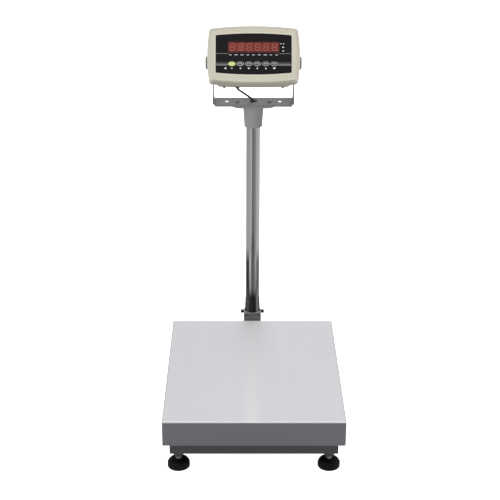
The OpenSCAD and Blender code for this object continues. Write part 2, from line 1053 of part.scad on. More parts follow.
// Panel outline with arched top and bottom edges
module panel_outline(grow = 0) {
    w = panel_w + 2 * grow;
    h = panel_h + 2 * grow;
    arch = arc_r(w / 2, panel_bulge);
    translate([0, panel_mid])
        intersection() {
            square([w, h + 1], center = true);
            translate([0, h / 2 - arch])
                circle(arch, $fn = 720);
            translate([0, arch - h / 2])
                circle(arch, $fn = 720);
        }
}

// Places its children at each screw post of the case
module case_posts() {
    for (x = [-post_x, post_x], z = [post_low, post_high])
        translate([x, 0, z])
            children();
}

// Cylinder along y, from one depth to the other
module post(r, y_from, y_to) {
    translate([0, y_from, 0])
        rotate([-90, 0, 0])
            cylinder(r = r, h = y_to - y_from);
}

// Places its children at each key
module key_places() {
    for (i = [0:5])
        translate([key_first + i * key_pitch, 0, key_z])
            children();
}

// Places its children at each screw of the front board
module board_posts() {
    for (x = [-64, 64], z = [-37, 37])
        translate([x, 0, panel_mid + z])
            children();
}

module front_housing() {
    color("#d4cdb9")
        at_indicator()
            difference() {
                union() {
                    difference() {
                        bowed(0, -case_front, bezel_back);
                        // Hollow behind the front wall, with a narrower mouth that the rear shell closes
                        bowed(bezel_wall, ledge_back, bezel_back - 2);
                        face_plate(bezel_back - 3, bezel_back + 1)
                            translate([0, case_mid])
                                round_outline(shell_w - 4 * shell_wall, shell_h - 4 * shell_wall,
                                    shell_corner);
                    }
                    case_posts()
                        post(4.5, ledge_back - 0.5, bezel_back);
                    // Stakes that hold the front board
                    board_posts() {
                        post(3.5, ledge_back - 0.5, board_y);
                        post(1.4, ledge_back - 0.5, board_y + board_t + 1);
                    }
                }
                face_plate(-case_front - 1, panel_y + panel_t)
                    panel_outline(loose);
                // Openings behind the display and behind the keys
                face_plate(-case_front - 1, ledge_back + 1)
                    translate([0, window_z])
                        square([window_w + 2, window_h + 2], center = true);
                face_plate(-case_front - 1, ledge_back + 1)
                    translate([key_first + 2.5 * key_pitch, key_z])
                        square([6 * key_pitch, key_h + 4], center = true);
                case_posts()
                    post(1.6, ledge_back + 2, bezel_back + 1);
            }
}

module rear_housing() {
    inner_back = case_back - shell_wall;
    color("#cfc8b4")
        at_indicator()
            difference() {
                union() {
                    difference() {
                        hull() {
                            case_slice(0, bezel_back);
                            case_slice(shell_step, case_back - 8);
                            case_slice(shell_inset, case_back - slice);
                        }
                        hull() {
                            case_slice(shell_wall, bezel_back - slice);
                            case_slice(shell_step + shell_wall, case_back - 8.8);
                            case_slice(shell_inset + shell_wall, inner_back);
                        }
                    }
                    case_posts()
                        post(4.5, bezel_back, inner_back + 1);
                    // Seats of the main board
                    for (x = [-58, 58], z = [28, 58])
                        translate([x, 0, z])
                            post(3, main_board_y + board_t, inner_back + 1);
                    for (x = [-1, 1])
                        translate([x * (boss_out + 84) / 2, 0, 0])
                            rotate([0, 90, 0])
                                cylinder(r = 11, h = boss_out - 84, center = true);
                }
                // Screw holes with head recesses
                case_posts() {
                    post(2.1, bezel_back - 1, case_back + 1);
                    post(4, case_back - 6, case_back + 1);
                }
                // Threads of the tilt knobs
                translate([-boss_out - 1, 0, 0])
                    rotate([0, 90, 0])
                        cylinder(r = pivot_r + running, h = 2 * boss_out + 2);
                // Battery door
                face_plate(inner_back - 3, case_back + 1)
                    translate([battery_x, battery_z])
                        square([100, 54], center = true);
                // Hole of the power inlet
                translate([inlet_x, 0, inlet_z])
                    post(5.5, inner_back - 3, case_back + 1);
                // Cable gland
                translate([gland_x, gland_y, gland_top - 3])
                    cylinder(r = gland_r + running, h = 16);
            }
}

module panel_overlay() {
    color("#242225")
        at_indicator()
            difference() {
                face_plate(panel_y, panel_y + panel_t)
                    panel_outline();
                face_plate(panel_y - 1, panel_y + panel_t + 1)
                    translate([0, window_z])
                        square([window_w + 0.2, window_h + 0.2], center = true);
                key_places()
                    face_plate(panel_y - 1, panel_y + panel_t + 1)
                        slot_outline(key_w + 2 * loose, key_h + 2 * loose);
            }
}

module display_window() {
    color("#5a1210")
        at_indicator()
            face_plate(panel_y, panel_y + panel_t)
                translate([0, window_z])
                    square([window_w, window_h], center = true);
}

module display_module() {
    color("#8c2a22")
        at_indicator()
            for (i = [0:digit_count - 1])
                translate([(i - (digit_count - 1) / 2) * digit_pitch, 0, window_z])
                    face_plate(panel_y + panel_t + 0.2, board_y)
                        square([digit_pitch - 0.4, 26], center = true);
}

// Board with a push switch behind each key
module front_board() {
    color("darkgreen")
        at_indicator() {
            difference() {
                face_plate(board_y, board_y + board_t)
                    translate([0, panel_mid])
                        square([140, 84], center = true);
                board_posts()
                    post(1.5, board_y - 1, board_y + board_t + 1);
            }
            key_places() {
                face_plate(board_y - 3.2, board_y)
                    square([7, 7], center = true);
                post(1.8, board_y - 4.4, board_y - 3.2);
            }
        }
}

module main_board() {
    color("seagreen")
        at_indicator() {
            face_plate(main_board_y, main_board_y + board_t)
                translate([0, 43])
                    square([130, 42], center = true);
            // Transformer block and two capacitors
            block([-50, 2, 28], [-20, main_board_y, 58]);
            for (x = [8, 26])
                translate([x, 0, 44])
                    post(6, 4, main_board_y);
        }
}

module battery() {
    color("#33405a")
        at_indicator()
            face_plate(case_back - shell_wall - 25, case_back - shell_wall - 1)
                translate([battery_x, battery_z])
                    square([97, 51.5], center = true);
}

module battery_cover() {
    color("#c9c2ae")
        at_indicator()
            difference() {
                face_plate(case_back - shell_wall, case_back)
                    translate([battery_x, battery_z])
                        round_outline(100 - 2 * loose, 54 - 2 * loose, 1.5);
                // Finger recess
                translate([battery_x, case_back + 3, battery_z + 18])
                    rotate([0, 90, 0])
                        cylinder(r = 4, h = 26, center = true);
            }
}

module cable_gland() {
    color("#1a1a1a")
        at_indicator()
            translate([gland_x, gland_y, gland_top])
                difference() {
                    union() {
                        translate([0, 0, -1.5])
                            hexagon(10, 1.5);
                        translate([0, 0, -3.5])
                            cylinder(r1 = 3.4, r2 = 4.2, h = 2);
                        cylinder(r = gland_r, h = 9);
                    }
                    translate([0, 0, -5])
                        cylinder(r = cable_r + loose, h = 16);
                }
}

// Round socket with a centre pin
module power_inlet() {
    color("#202020")
        at_indicator()
            translate([inlet_x, 0, inlet_z])
                difference() {
                    post(5.4, case_back - shell_wall - 8, case_back);
                    difference() {
                        post(2.8, case_back - 8, case_back + 1);
                        post(1, case_back - 9, case_back - 1);
                    }
                }
}

module case_screws() {
    color("#8c8c8c")
        at_indicator()
            case_posts()
                difference() {
                    union() {
                        post(3.5, case_back - 6, case_back - 3.6);
                        post(1.5, ledge_back + 4, case_back - 5);
                    }
                    for (a = [0, 90])
                        rotate([0, a, 0])
                            translate([-2, case_back - 4.8, -0.4])
                                cube([4, 2, 0.8]);
                }
}

module case_bumpers() {
    color("#b9b29e")
        at_indicator()
            for (x = [-72.5, 72.5])
                translate([x, 9, -60.8])
                    cylinder(r1 = 3.2, r2 = 4.8, h = 9);
}

module tilt_washers() {
    color("#2a2a2a")
        at_indicator()
            for (x = [-1, 1])
                translate([x * (boss_out + 0.95), 0, 0])
                    rotate([0, 90, 0])
                        difference() {
                            cylinder(r = 11, h = 1.9, center = true);
                            cylinder(r = pivot_r + loose, h = 3, center = true);
                        }
}

module knob_washer(side) {
    color("silver")
        at_indicator()
            translate([side * (arm_out + washer_t / 2), 0, 0])
                rotate([0, 90, 0])
                    difference() {
                        cylinder(r = 9, h = washer_t, center = true);
                        cylinder(r = pivot_r + running, h = 3, center = true);
                    }
}

module knob_washer_left() {
    knob_washer(-1);
}

module knob_washer_right() {
    knob_washer(1);
}

// Grip knob with eight flutes and a threaded stud
module knob(side) {
    base = arm_out + washer_t;
    thick = knob_out - base;
    edge = 3;
    stud_in = 86;
    color("#6e6e6e")
        at_indicator()
            rotate([0, side * 90, 0]) {
                translate([0, 0, base])
                    difference() {
                        rotate_extrude() {
                            square([knob_r, thick - edge]);
                            square([knob_r - edge, thick]);
                            intersection() {
                                square([knob_r, thick]);
                                translate([knob_r - edge, thick - edge])
                                    circle(edge);
                            }
                        }
                        for (a = [0:45:315])
                            rotate([0, 0, a])
                                translate([knob_r + 2.4, 0, 3])
                                    cylinder(r = 3.6, h = thick);
                    }
                translate([0, 0, stud_in])
                    cylinder(r = pivot_r, h = base - stud_in + 1);
            }
}

module knob_left() {
    knob(-1);
}

module knob_right() {
    knob(1);
}

// One key, by its place in the row
module key(i, shade) {
    color(shade)
        at_indicator()
            translate([key_first + i * key_pitch, 0, key_z])
                face_plate(key_top, key_back)
                    slot_outline(key_w, key_h);
}

module key_power() {
    key(0, "#d4e482");
}

module key_zero() {
    key(1, "#3a3a3a");
}

module key_tare() {
    key(2, "#3a3a3a");
}

module key_hold() {
    key(3, "#3a3a3a");
}

module key_mode() {
    key(4, "#3a3a3a");
}

module key_print() {
    key(5, "#3a3a3a");
}

// ---- Which pieces are drawn ----

platter();
platter_pads();
load_frame();
load_cell();
lower_spacer();
upper_spacer();
lower_cell_bolts();
upper_cell_bolts();
overload_stops();
base_frame();
foot_lock_nuts();
foot_pad_front_left();
foot_pad_front_right();
foot_pad_back_left();
foot_pad_back_right();
foot_stud_front_left();
foot_stud_front_right();
foot_stud_back_left();
foot_stud_back_right();
base_cable();
level_housing();
level_vial();
column_socket();
socket_bolts();
lower_bush();
clamp_collar();
clamp_sleeve();
clamp_screw_left();
clamp_screw_right();
column_tube();
column_head();
head_set_screw();
yoke();
yoke_screws();
cable_grommet();
signal_cable();
front_housing();
rear_housing();
panel_overlay();
display_window();
display_module();
front_board();
main_board();
battery();
battery_cover();
power_inlet();
cable_gland();
case_screws();
case_bumpers();
tilt_washers();
knob_left();
knob_right();
knob_washer_left();
knob_washer_right();
key_power();
key_zero();
key_tare();
key_hold();
key_mode();
key_print();
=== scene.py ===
"""Looks of the column scale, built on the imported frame."""
import json
import math

import bmesh
import bpy
from mathutils import Matrix, Vector


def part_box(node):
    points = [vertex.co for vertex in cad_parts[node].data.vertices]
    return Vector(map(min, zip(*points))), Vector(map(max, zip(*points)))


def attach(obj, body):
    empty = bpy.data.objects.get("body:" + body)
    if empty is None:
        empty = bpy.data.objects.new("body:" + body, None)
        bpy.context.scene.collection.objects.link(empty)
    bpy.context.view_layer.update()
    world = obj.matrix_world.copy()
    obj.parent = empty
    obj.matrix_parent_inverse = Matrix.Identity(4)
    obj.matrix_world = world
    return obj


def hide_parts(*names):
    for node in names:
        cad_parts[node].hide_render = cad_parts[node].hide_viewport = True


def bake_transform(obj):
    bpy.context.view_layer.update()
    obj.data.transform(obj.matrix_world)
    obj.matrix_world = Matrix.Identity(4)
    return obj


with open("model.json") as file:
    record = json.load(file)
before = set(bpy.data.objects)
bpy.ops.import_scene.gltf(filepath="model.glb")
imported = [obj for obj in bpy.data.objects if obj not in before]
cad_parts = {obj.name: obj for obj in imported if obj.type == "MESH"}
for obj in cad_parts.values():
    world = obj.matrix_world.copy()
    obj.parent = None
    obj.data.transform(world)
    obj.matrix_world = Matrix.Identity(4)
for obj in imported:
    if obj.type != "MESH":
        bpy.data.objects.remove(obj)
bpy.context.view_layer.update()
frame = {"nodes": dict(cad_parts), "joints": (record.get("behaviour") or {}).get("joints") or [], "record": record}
MM = 0.001
NODES = frame["nodes"]
SLOTS = {part["node"]: part["material_slot"] for part in frame["record"]["subparts"]}


# ---- Frames of the parts ----

def middle(node):
    """Middle of a node's box, in metres."""
    low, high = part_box(node)
    return (low + high) / 2


def joint(name):
    return next(j for j in frame["joints"] if j["name"] == name)


# The indicator's face has its own directions: x to the right, y into the case and z up the face
PRESS = Vector(joint("press_zero")["axis"])
TILT = math.atan2(-PRESS.z, PRESS.y)
PIVOT = (middle("knob_washer_left") + middle("knob_washer_right")) / 2
FACE = Matrix.Translation(PIVOT) @ Matrix.Rotation(-TILT, 4, "X")
FROM_MM = Matrix.Scale(MM, 4)
FACE_FROM_MM = FACE @ FROM_MM


def face_box(node):
    """Box of a node in the face's own directions, in millimetres."""
    back = FACE.inverted()
    points = [back @ v.co for v in NODES[node].data.vertices]
    low = Vector([min(p[i] for p in points) for i in range(3)]) / MM
    high = Vector([max(p[i] for p in points) for i in range(3)]) / MM
    return low, high


def frame_box(node):
    """Box of a node in the frame's directions, in millimetres."""
    low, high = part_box(node)
    return low / MM, high / MM


# ---- Mesh helpers ----

def shade(piece, angle):
    """Smooth shading with sharp edges above an angle."""
    mesh = piece.data
    for face in mesh.polygons:
        face.use_smooth = True
    mesh.set_sharp_from_angle(angle=math.radians(angle))


def make(name, bm, body, material, smooth, matrix=None, replaces=()):
    """Turns a bmesh into a piece. It rides on a body, if one is given."""
    bmesh.ops.recalc_face_normals(bm, faces=bm.faces)
    mesh = bpy.data.meshes.new(name)
    bm.to_mesh(mesh)
    bm.free()
    if matrix is not None:
        mesh.transform(matrix)
    piece = bpy.data.objects.new(name, mesh)
    bpy.context.scene.collection.objects.link(piece)
    shade(piece, smooth)
    mesh.materials.append(material)
    if body:
        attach(piece, body)
    if replaces:
        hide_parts(*replaces)
    return piece


def bevel(piece, width, angle):
    """Rounded edges on a piece, with the width in millimetres."""
    mod = piece.modifiers.new("round", "BEVEL")
    mod.width = width * MM
    mod.segments = 2
    mod.limit_method = "ANGLE"
    mod.angle_limit = math.radians(angle)
    mod.harden_normals = True
    mod.use_clamp_overlap = True


def skin(bm, rows, pairs):
    """Faces between pairs of rows of points."""
    n = len(rows[0])
    for a, b in pairs:
        for i in range(n):
            j = (i + 1) % n
            bm.faces.new((a[i], a[j], b[j], b[i]))


def loft(bm, rings, far_cap=True):
    """Skin over rings of points, all with the same count."""
    rows = [[bm.verts.new(p) for p in ring] for ring in rings]
    skin(bm, rows, zip(rows, rows[1:]))
    bm.faces.new(rows[0][::-1])
    if far_cap:
        bm.faces.new(rows[-1])


def closed_loop(bm, rings):
    """Skin over rings whose last joins the first again."""
    rows = [[bm.verts.new(p) for p in ring] for ring in rings]
    skin(bm, rows, zip(rows, rows[1:] + rows[:1]))


def turn(count):
    """Angles that divide a full turn evenly."""
    return [2 * math.pi * i / count for i in range(count)]


def circle(cx, cy, r, z, sides):
    return [(cx + r * math.cos(a), cy + r * math.sin(a), z) for a in turn(sides)]


def lathe(bm, profile, cx, cy, sides):
    """Shape turned round an upright axis, from (radius, height) pairs."""
    loft(bm, [circle(cx, cy, r, z, sides) for r, z in profile])


def slab(bm, outline, y_front, y_back):
    """Flat shape on the face: an outline in x and z raised along y."""
    loft(bm, on_face(((y_front, outline), (y_back, outline))))


def on_face(layers):
    """Rings on the face, from pairs of a y and an outline in x and z."""
    return [[(x, y, z) for x, z in outline] for y, outline in layers]


def pill(cx, cz, w, h, steps):
    """Outline with round ends."""
    r = min(w, h) / 2
    dx, dz = w / 2 - r, h / 2 - r
    points = []
    for k, (sx, sz) in enumerate([(1, 1), (-1, 1), (-1, -1), (1, -1)]):
        for i in range(steps + 1):
            a = math.pi / 2 * (k + i / steps)
            points.append((cx + sx * dx + r * math.cos(a), cz + sz * dz + r * math.sin(a)))
    return points


def plate(cx, cz, w, h, cut):
    """Rectangle with its corners cut."""
    a, b = w / 2, h / 2
    points = [(a, -b + cut), (a, b - cut), (a - cut, b), (-a + cut, b), (-a, b - cut), (-a, -b + cut),
              (-a + cut, -b), (a - cut, -b)]
    return [(cx + x, cz + z) for x, z in points]


def ellipse(cx, cz, w, h, n=48):
    return [(cx + w / 2 * math.cos(a), cz + h / 2 * math.sin(a)) for a in turn(n)]


# ---- Colours and the node material builder ----

def grey(value, warm=0.0):
    """Linear colour from an 8-bit grey, a little warmer or cooler."""
    c = (value / 255 / 12.92) if value < 10 else ((value / 255 + 0.055) / 1.055) ** 2.4
    return (c * (1 + warm), c, c * (1 - warm))


def srgb(r, g, b):
    return tuple(grey(v)[1] for v in (r, g, b))


class Look:
    """A node material, built up step by step around one Principled shader."""

    def __init__(self, name, colour, rough, metal=0.0):
        self.material = bpy.data.materials.new(name)
        self.material.use_nodes = True
        self.tree = self.material.node_tree
        self.shader = self.tree.nodes["Principled BSDF"]
        self.shader.inputs["Metallic"].default_value = metal
        self.rough = rough
        self.place = self.node("ShaderNodeTexCoord").outputs["Object"]
        self.colour = self.rgb(colour)
        self.height = None
        self.roughness = None

    def node(self, kind, **values):
        made = self.tree.nodes.new(kind)
        for key, value in values.items():
            setattr(made, key, value)
        return made

    def link(self, output, target):
        self.tree.links.new(output, target)

    def put(self, value, target):
        """Sets an input to a number, or links an output to it."""
        if isinstance(value, (int, float)):
            target.default_value = value
        else:
            self.link(value, target)

    def rgb(self, colour):
        made = self.node("ShaderNodeRGB")
        made.outputs[0].default_value = (*colour, 1)
        return made.outputs[0]

    def maths(self, operation, a, b=0.0):
        made = self.node("ShaderNodeMath", operation=operation)
        self.put(a, made.inputs[0])
        self.put(b, made.inputs[1])
        return made.outputs[0]

    def split(self, vector):
        made = self.node("ShaderNodeSeparateXYZ")
        self.link(vector, made.inputs[0])
        return made.outputs

    def normal(self):
        """World direction that the surface faces."""
        return self.node("ShaderNodeNewGeometry").outputs["Normal"]

    def facing(self, axis):
        """World direction of the surface along one axis, from -1 to 1."""
        return self.split(self.normal())[axis]

    def away(self, value, centre=0.0):
        """Distance of a value from a centre."""
        return self.maths("ABSOLUTE", self.maths("SUBTRACT", value, centre))

    def noise(self, scale, detail=4, stretch=(1, 1, 1), rough=0.5, offset=0.0):
        """Noise whose scale counts features a metre, stretched along axes."""
        mapping = self.node("ShaderNodeMapping")
        mapping.inputs["Scale"].default_value = stretch
        mapping.inputs["Location"].default_value = (offset, offset, offset)
        self.link(self.place, mapping.inputs["Vector"])
        made = self.node("ShaderNodeTexNoise")
        made.inputs["Scale"].default_value = scale
        made.inputs["Detail"].default_value = detail
        made.inputs["Roughness"].default_value = rough
        self.link(mapping.outputs[0], made.inputs["Vector"])
        return made.outputs["Fac"]

    def span(self, value, low, high, to_low=0.0, to_high=1.0):
        """Maps a value from one range to another, and holds it at both ends."""
        made = self.node("ShaderNodeMapRange")
        made.inputs["From Min"].default_value = low
        made.inputs["From Max"].default_value = high
        made.inputs["To Min"].default_value = to_low
        made.inputs["To Max"].default_value = to_high
        self.put(value, made.inputs["Value"])
        return made.outputs[0]

    def mix(self, amount, a, b):
        made = self.node("ShaderNodeMix", data_type="RGBA")
        self.put(amount, made.inputs["Factor"])
        for value, target in ((a, made.inputs[6]), (b, made.inputs[7])):
            if isinstance(value, tuple):
                target.default_value = (*value, 1)
            else:
                self.link(value, target)
        return made.outputs[2]

    def tint(self, amount, colour):
        self.colour = self.mix(amount, self.colour, colour)
        return self

    def vary(self, noise, amount):
        """Lightens and darkens the colour by a share."""
        gain = self.span(noise, 0.3, 0.7, 1 - amount, 1 + amount)
        scale = self.node("ShaderNodeVectorMath", operation="SCALE")
        self.link(self.colour, scale.inputs[0])
        self.link(gain, scale.inputs["Scale"])
        self.colour = scale.outputs[0]
        return self

    def grain(self, noise, depth, spread=0.05):
        """Bump of a depth in millimetres, and a little roughness with it."""
        self.height = (noise, depth)
        smooth, dull = max(0.02, self.rough - spread), min(1, self.rough + spread)
        self.roughness = self.span(noise, 0.3, 0.7, smooth, dull)
        return self

    def painted_reflections(self, stops):
        """Painted reflections: grey bands across a round part as the camera sees it, from its left edge to its
        right.
        """
        to_view = self.node("ShaderNodeVectorTransform", vector_type="NORMAL", convert_from="WORLD",
                            convert_to="CAMERA")
        self.link(self.normal(), to_view.inputs[0])
        ramp = self.node("ShaderNodeValToRGB")
        bar = ramp.color_ramp
        for at, value in stops[1:-1]:
            bar.elements.new(at)
        for element, (at, value) in zip(bar.elements, stops):
            element.position = at
            element.color = (*grey(value, 0.015), 1)
        self.link(self.span(self.split(to_view.outputs[0])["X"], -1, 1), ramp.inputs[0])
        return ramp.outputs[0]

    def wear(self, colour, width=1.2, amount=0.5):
        """Edges rubbed to another colour, found where a rounded normal leaves the true one."""
        round_edge = self.node("ShaderNodeBevel", samples=4)
        round_edge.inputs["Radius"].default_value = width * MM
        dot = self.node("ShaderNodeVectorMath", operation="DOT_PRODUCT")
        self.link(round_edge.outputs[0], dot.inputs[0])
        self.link(self.normal(), dot.inputs[1])
        edge = self.span(dot.outputs["Value"], 0.995, 0.9)
        patchy = self.span(self.noise(220, 5), 0.45, 0.62)
        return self.tint(self.maths("MULTIPLY", self.maths("MULTIPLY", edge, patchy), amount), colour)

    def done(self, **inputs):
        """Links colour, roughness and bump to the shader, and sets its other inputs."""
        self.link(self.colour, self.shader.inputs["Base Color"])
        self.link(self.roughness, self.shader.inputs["Roughness"])
        noise, depth = self.height
        bump = self.node("ShaderNodeBump")
        bump.inputs["Strength"].default_value = 1.0
        bump.inputs["Distance"].default_value = depth * MM
        self.link(noise, bump.inputs["Height"])
        self.link(bump.outputs[0], self.shader.inputs["Normal"])
        for key, value in inputs.items():
            self.put(value, self.shader.inputs[key.replace("_", " ")])
        return self.material


# ---- Materials ----

def powder(name, colour, rough=0.55, wear=None):
    """Powder coat: fine orange peel, faint cloudiness, edges rubbed a little."""
    look = Look(name, colour, rough)
    look.vary(look.noise(9, 4), 0.10).vary(look.noise(900, 2), 0.10)
    look.grain(look.noise(1300, 3, rough=0.6), 0.05, 0.07)
    if wear:
        look.wear(wear)
    return look.done(Specular_IOR_Level=0.4)


def moulded(name, colour, rough=0.45, depth=0.03, mottle=0.04, shine=0.5):
    """Moulded plastic with a spark-eroded texture."""
    look = Look(name, colour, rough)
    look.vary(look.noise(14, 3), mottle).vary(look.noise(700, 2), mottle)
    look.grain(look.noise(1500, 4, rough=0.6), depth, 0.06)
    return look.done(Specular_IOR_Level=shine)


def plated(name, colour, rough=0.25, depth=0.01):
    """Bright plated metal with fine turning marks and dull spots."""
    look = Look(name, colour, rough, 1.0)
    look.vary(look.noise(160, 5), 0.14)
    look.grain(look.noise(500, 3, stretch=(1, 1, 6)), depth, 0.10)
    return look.done()


def rubber(name, colour, rough=0.62, dust=0.12, shine=0.35):
    """Moulded rubber: dusty in patches, slightly pitted."""
    look = Look(name, colour, rough)
    look.vary(look.noise(60, 5), 0.25)
    look.tint(look.span(look.noise(38, 6, offset=3.0), 0.56, 0.8, 0, dust), grey(90))
    look.grain(look.noise(1100, 4), 0.06, 0.1)
    return look.done(Specular_IOR_Level=shine)


def lit(name, colour, power):
    """Lit part behind the display's filter, slightly uneven."""
    look = Look(name, colour, 0.5)
    glow = look.span(look.noise(240, 2), 0.2, 0.8, 0.86, 1.14)
    look.vary(look.noise(240, 2), 0.08)
    look.link(look.colour, look.shader.inputs["Emission Color"])
    look.grain(look.noise(900, 2), 0.004)
    return look.done(Emission_Strength=look.maths("MULTIPLY", glow, power))


def print_ink(name, colour, rough=0.4):
    """Screen-printed ink, slightly uneven."""
    look = Look(name, colour, rough)
    look.vary(look.noise(300, 4), 0.09)
    look.grain(look.noise(1500, 2), 0.003, 0.05)
    return look.done()


def case_plastic():
    """Ivory moulded case, with painted shade on its upper edge, below and on its right flank."""
    look = Look("case_plastic", srgb(187, 183, 167), 0.5)
    look.vary(look.noise(14, 3), 0.015).vary(look.noise(700, 2), 0.02)
    up = look.facing("Z")
    # Painted shade: darker on the upper edge, below, and on the right flank
    look.tint(look.span(up, 0.6, 0.98, 0.0, 0.4), srgb(157, 153, 138))
    look.tint(look.span(up, 0.1, -0.6, 0.0, 0.8), srgb(114, 110, 101))
    look.tint(look.span(look.facing("X"), 0.5, 0.9, 0.0, 0.15), srgb(150, 145, 132))
    look.grain(look.noise(1500, 4, rough=0.6), 0.035, 0.06)
    return look.done()


def head_plastic():
    """Grey cast head with painted shade on its right flank."""
    look = Look("head_plastic", grey(120), 0.5)
    look.vary(look.noise(14, 3), 0.04).vary(look.noise(700, 2), 0.05)
    # Painted shade on the right flank
    look.tint(look.span(look.facing("X"), -0.3, 0.8, 0.0, 0.6), grey(84))
    look.grain(look.noise(1500, 4, rough=0.6), 0.05, 0.06)
    return look.done()


def collar_paint():
    """Grey paint on the clamp's ring, with a painted highlight on its upward faces and its edges rubbed bright."""
    look = Look("collar_paint", grey(100), 0.4)
    look.vary(look.noise(30, 4), 0.1)
    # Painted highlight on the faces that look up
    look.tint(look.span(look.facing("Z"), 0.4, 0.9), grey(176))
    look.grain(look.noise(1300, 3, rough=0.6), 0.04, 0.07)
    look.wear(grey(205))
    return look.done(Specular_IOR_Level=0.4)


# Painted reflections of a bright room, as greys across the black sleeve and across the lower and upper tube:
# each pair is a place, from 0 at the left edge to 1 at the right one, and an 8-bit grey
SLEEVE_REFLECTIONS = ((0.0, 14), (0.08, 24), (0.15, 66), (0.21, 80), (0.27, 42), (0.5, 28), (0.70, 20), (0.76, 80),
                (0.82, 126), (0.88, 98), (0.93, 40), (1.0, 20))
LOWER_TUBE_REFLECTIONS = ((0.0, 8), (0.09, 14), (0.16, 28), (0.23, 58), (0.32, 186), (0.38, 146), (0.45, 104),
                    (0.56, 102), (0.64, 128), (0.71, 140), (0.78, 108), (0.85, 76), (0.92, 82), (1.0, 84))
UPPER_TUBE_REFLECTIONS = ((0.0, 122), (0.2, 130), (0.33, 133), (0.385, 158), (0.44, 86), (0.52, 86), (0.60, 104),
                    (0.66, 101), (0.73, 136), (0.80, 142), (0.87, 148), (0.93, 160), (1.0, 148))
# Heights over which one set of the tube's painted reflections turns into the next, in metres
UPPER_FADE = (0.29, 0.33)
SLEEVE_FADE = (0.218, 0.19)


def sleeve_plastic():
    """Glossy black sleeve with painted reflections of a bright room along it."""
    look = Look("sleeve_plastic", grey(30), 0.3)
    look.colour = look.painted_reflections(SLEEVE_REFLECTIONS)
    look.vary(look.noise(30, 4), 0.05)
    look.grain(look.noise(900, 2), 0.004, 0.03)
    return look.done(Specular_IOR_Level=0.1)


def tube_steel():
    """Polished stainless tube with painted reflections, and a painted reflection of the sleeve just above it."""
    look = Look("tube_steel", grey(200), 0.2, 0.9)
    z = look.split(look.place)["Z"]
    look.colour = look.mix(look.span(z, *UPPER_FADE), look.painted_reflections(LOWER_TUBE_REFLECTIONS),
                           look.painted_reflections(UPPER_TUBE_REFLECTIONS))
    # Painted reflection of the black sleeve on the tube's lowest part
    look.tint(look.span(z, *SLEEVE_FADE, 0.0, 0.95), look.painted_reflections(SLEEVE_REFLECTIONS))
    look.vary(look.noise(30, 4, stretch=(1, 1, 0.15)), 0.05)
    look.grain(look.noise(60, 3, stretch=(1, 1, 0.05)), 0.006, 0.03)
    return look.done()


def pan_steel():
    """Satin stainless sheet, brushed left to right, with painted shade on the folded sides."""
    look = Look("pan_steel", srgb(203, 204, 207), 0.58, 0.25)
    look.vary(look.noise(1, 3, stretch=(5, 700, 700)), 0.016)
    look.vary(look.noise(1, 5, stretch=(3, 90, 90)), 0.008)
    look.vary(look.noise(3.2, 3), 0.010)
    look.vary(look.noise(1, 2, stretch=(26, 0.5, 0.5), offset=1.7), 0.012)
    # Painted shade on the folded sides, which face sideways rather than up
    side = look.span(look.maths("ABSOLUTE", look.facing("Z")), 0.97, 0.6)
    spot = look.split(look.place)
    # Painted highlights: a bright strip along the front fold, a lighter middle, and a faint painted reflection
    # streak from the front to the middle
    from_strip = look.maths("SUBTRACT", spot["Y"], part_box("platter")[0].y + 6 * MM)
    look.tint(look.span(look.away(from_strip), 0.004, 0.001, 0.0, 0.5), grey(232))
    look.tint(look.span(look.away(spot["X"]), 0.16, 0.0, 0.0, 0.15), grey(226))
    across = look.span(look.away(spot["X"], -0.006), 0.022, 0.004)
    along = look.span(from_strip, 0.34, 0.02)
    look.tint(look.maths("MULTIPLY", look.maths("MULTIPLY", across, along), 0.3), grey(226))
    look.tint(side, srgb(86, 85, 90))
    look.grain(look.noise(1, 3, stretch=(14, 1400, 1400)), 0.006, 0.04)
    return look.done(Anisotropic=0.3)


def window_glass():
    """Dark red display filter that lets the lit digits through."""
    look = Look("window_glass", srgb(96, 18, 14), 0.12)
    look.vary(look.noise(40, 3), 0.05)
    look.grain(look.noise(300, 2), 0.002, 0.03)
    return look.done(Alpha=0.34, Coat_Weight=0.4)


PANEL_COLOUR = srgb(22, 20, 23)


def band_ink():
    """Silver print that fades into the black panel, by the piece's fade attribute."""
    look = Look("band_ink", srgb(128, 123, 120), 0.42)
    attribute = look.node("ShaderNodeAttribute", attribute_name="fade")
    curve = look.maths("POWER", attribute.outputs["Fac"], 1.9)
    look.colour = look.mix(curve, PANEL_COLOUR, look.colour)
    look.vary(look.noise(260, 4), 0.06)
    look.grain(look.noise(1500, 2), 0.003, 0.05)
    return look.done(Specular_IOR_Level=0.1)


def vial_liquid():
    """Clear green liquid of the bubble level."""
    look = Look("vial_liquid", srgb(190, 226, 96), 0.08)
    look.vary(look.noise(90, 2), 0.05)
    look.grain(look.noise(200, 2), 0.002, 0.02)
    return look.done(Coat_Weight=0.6)


def white_floor():
    """Pale floor, brighter to the camera than as a source of light."""
    look = Look("floor", grey(250), 0.9)
    look.vary(look.noise(1.2, 3), 0.004)
    look.grain(look.noise(90, 2), 0.02)
    look.link(look.colour, look.shader.inputs["Emission Color"])
    seen = look.node("ShaderNodeLightPath").outputs["Is Camera Ray"]
    return look.done(Specular_IOR_Level=0.1, Emission_Strength=look.span(seen, 0, 1, 0.36, 0.95))


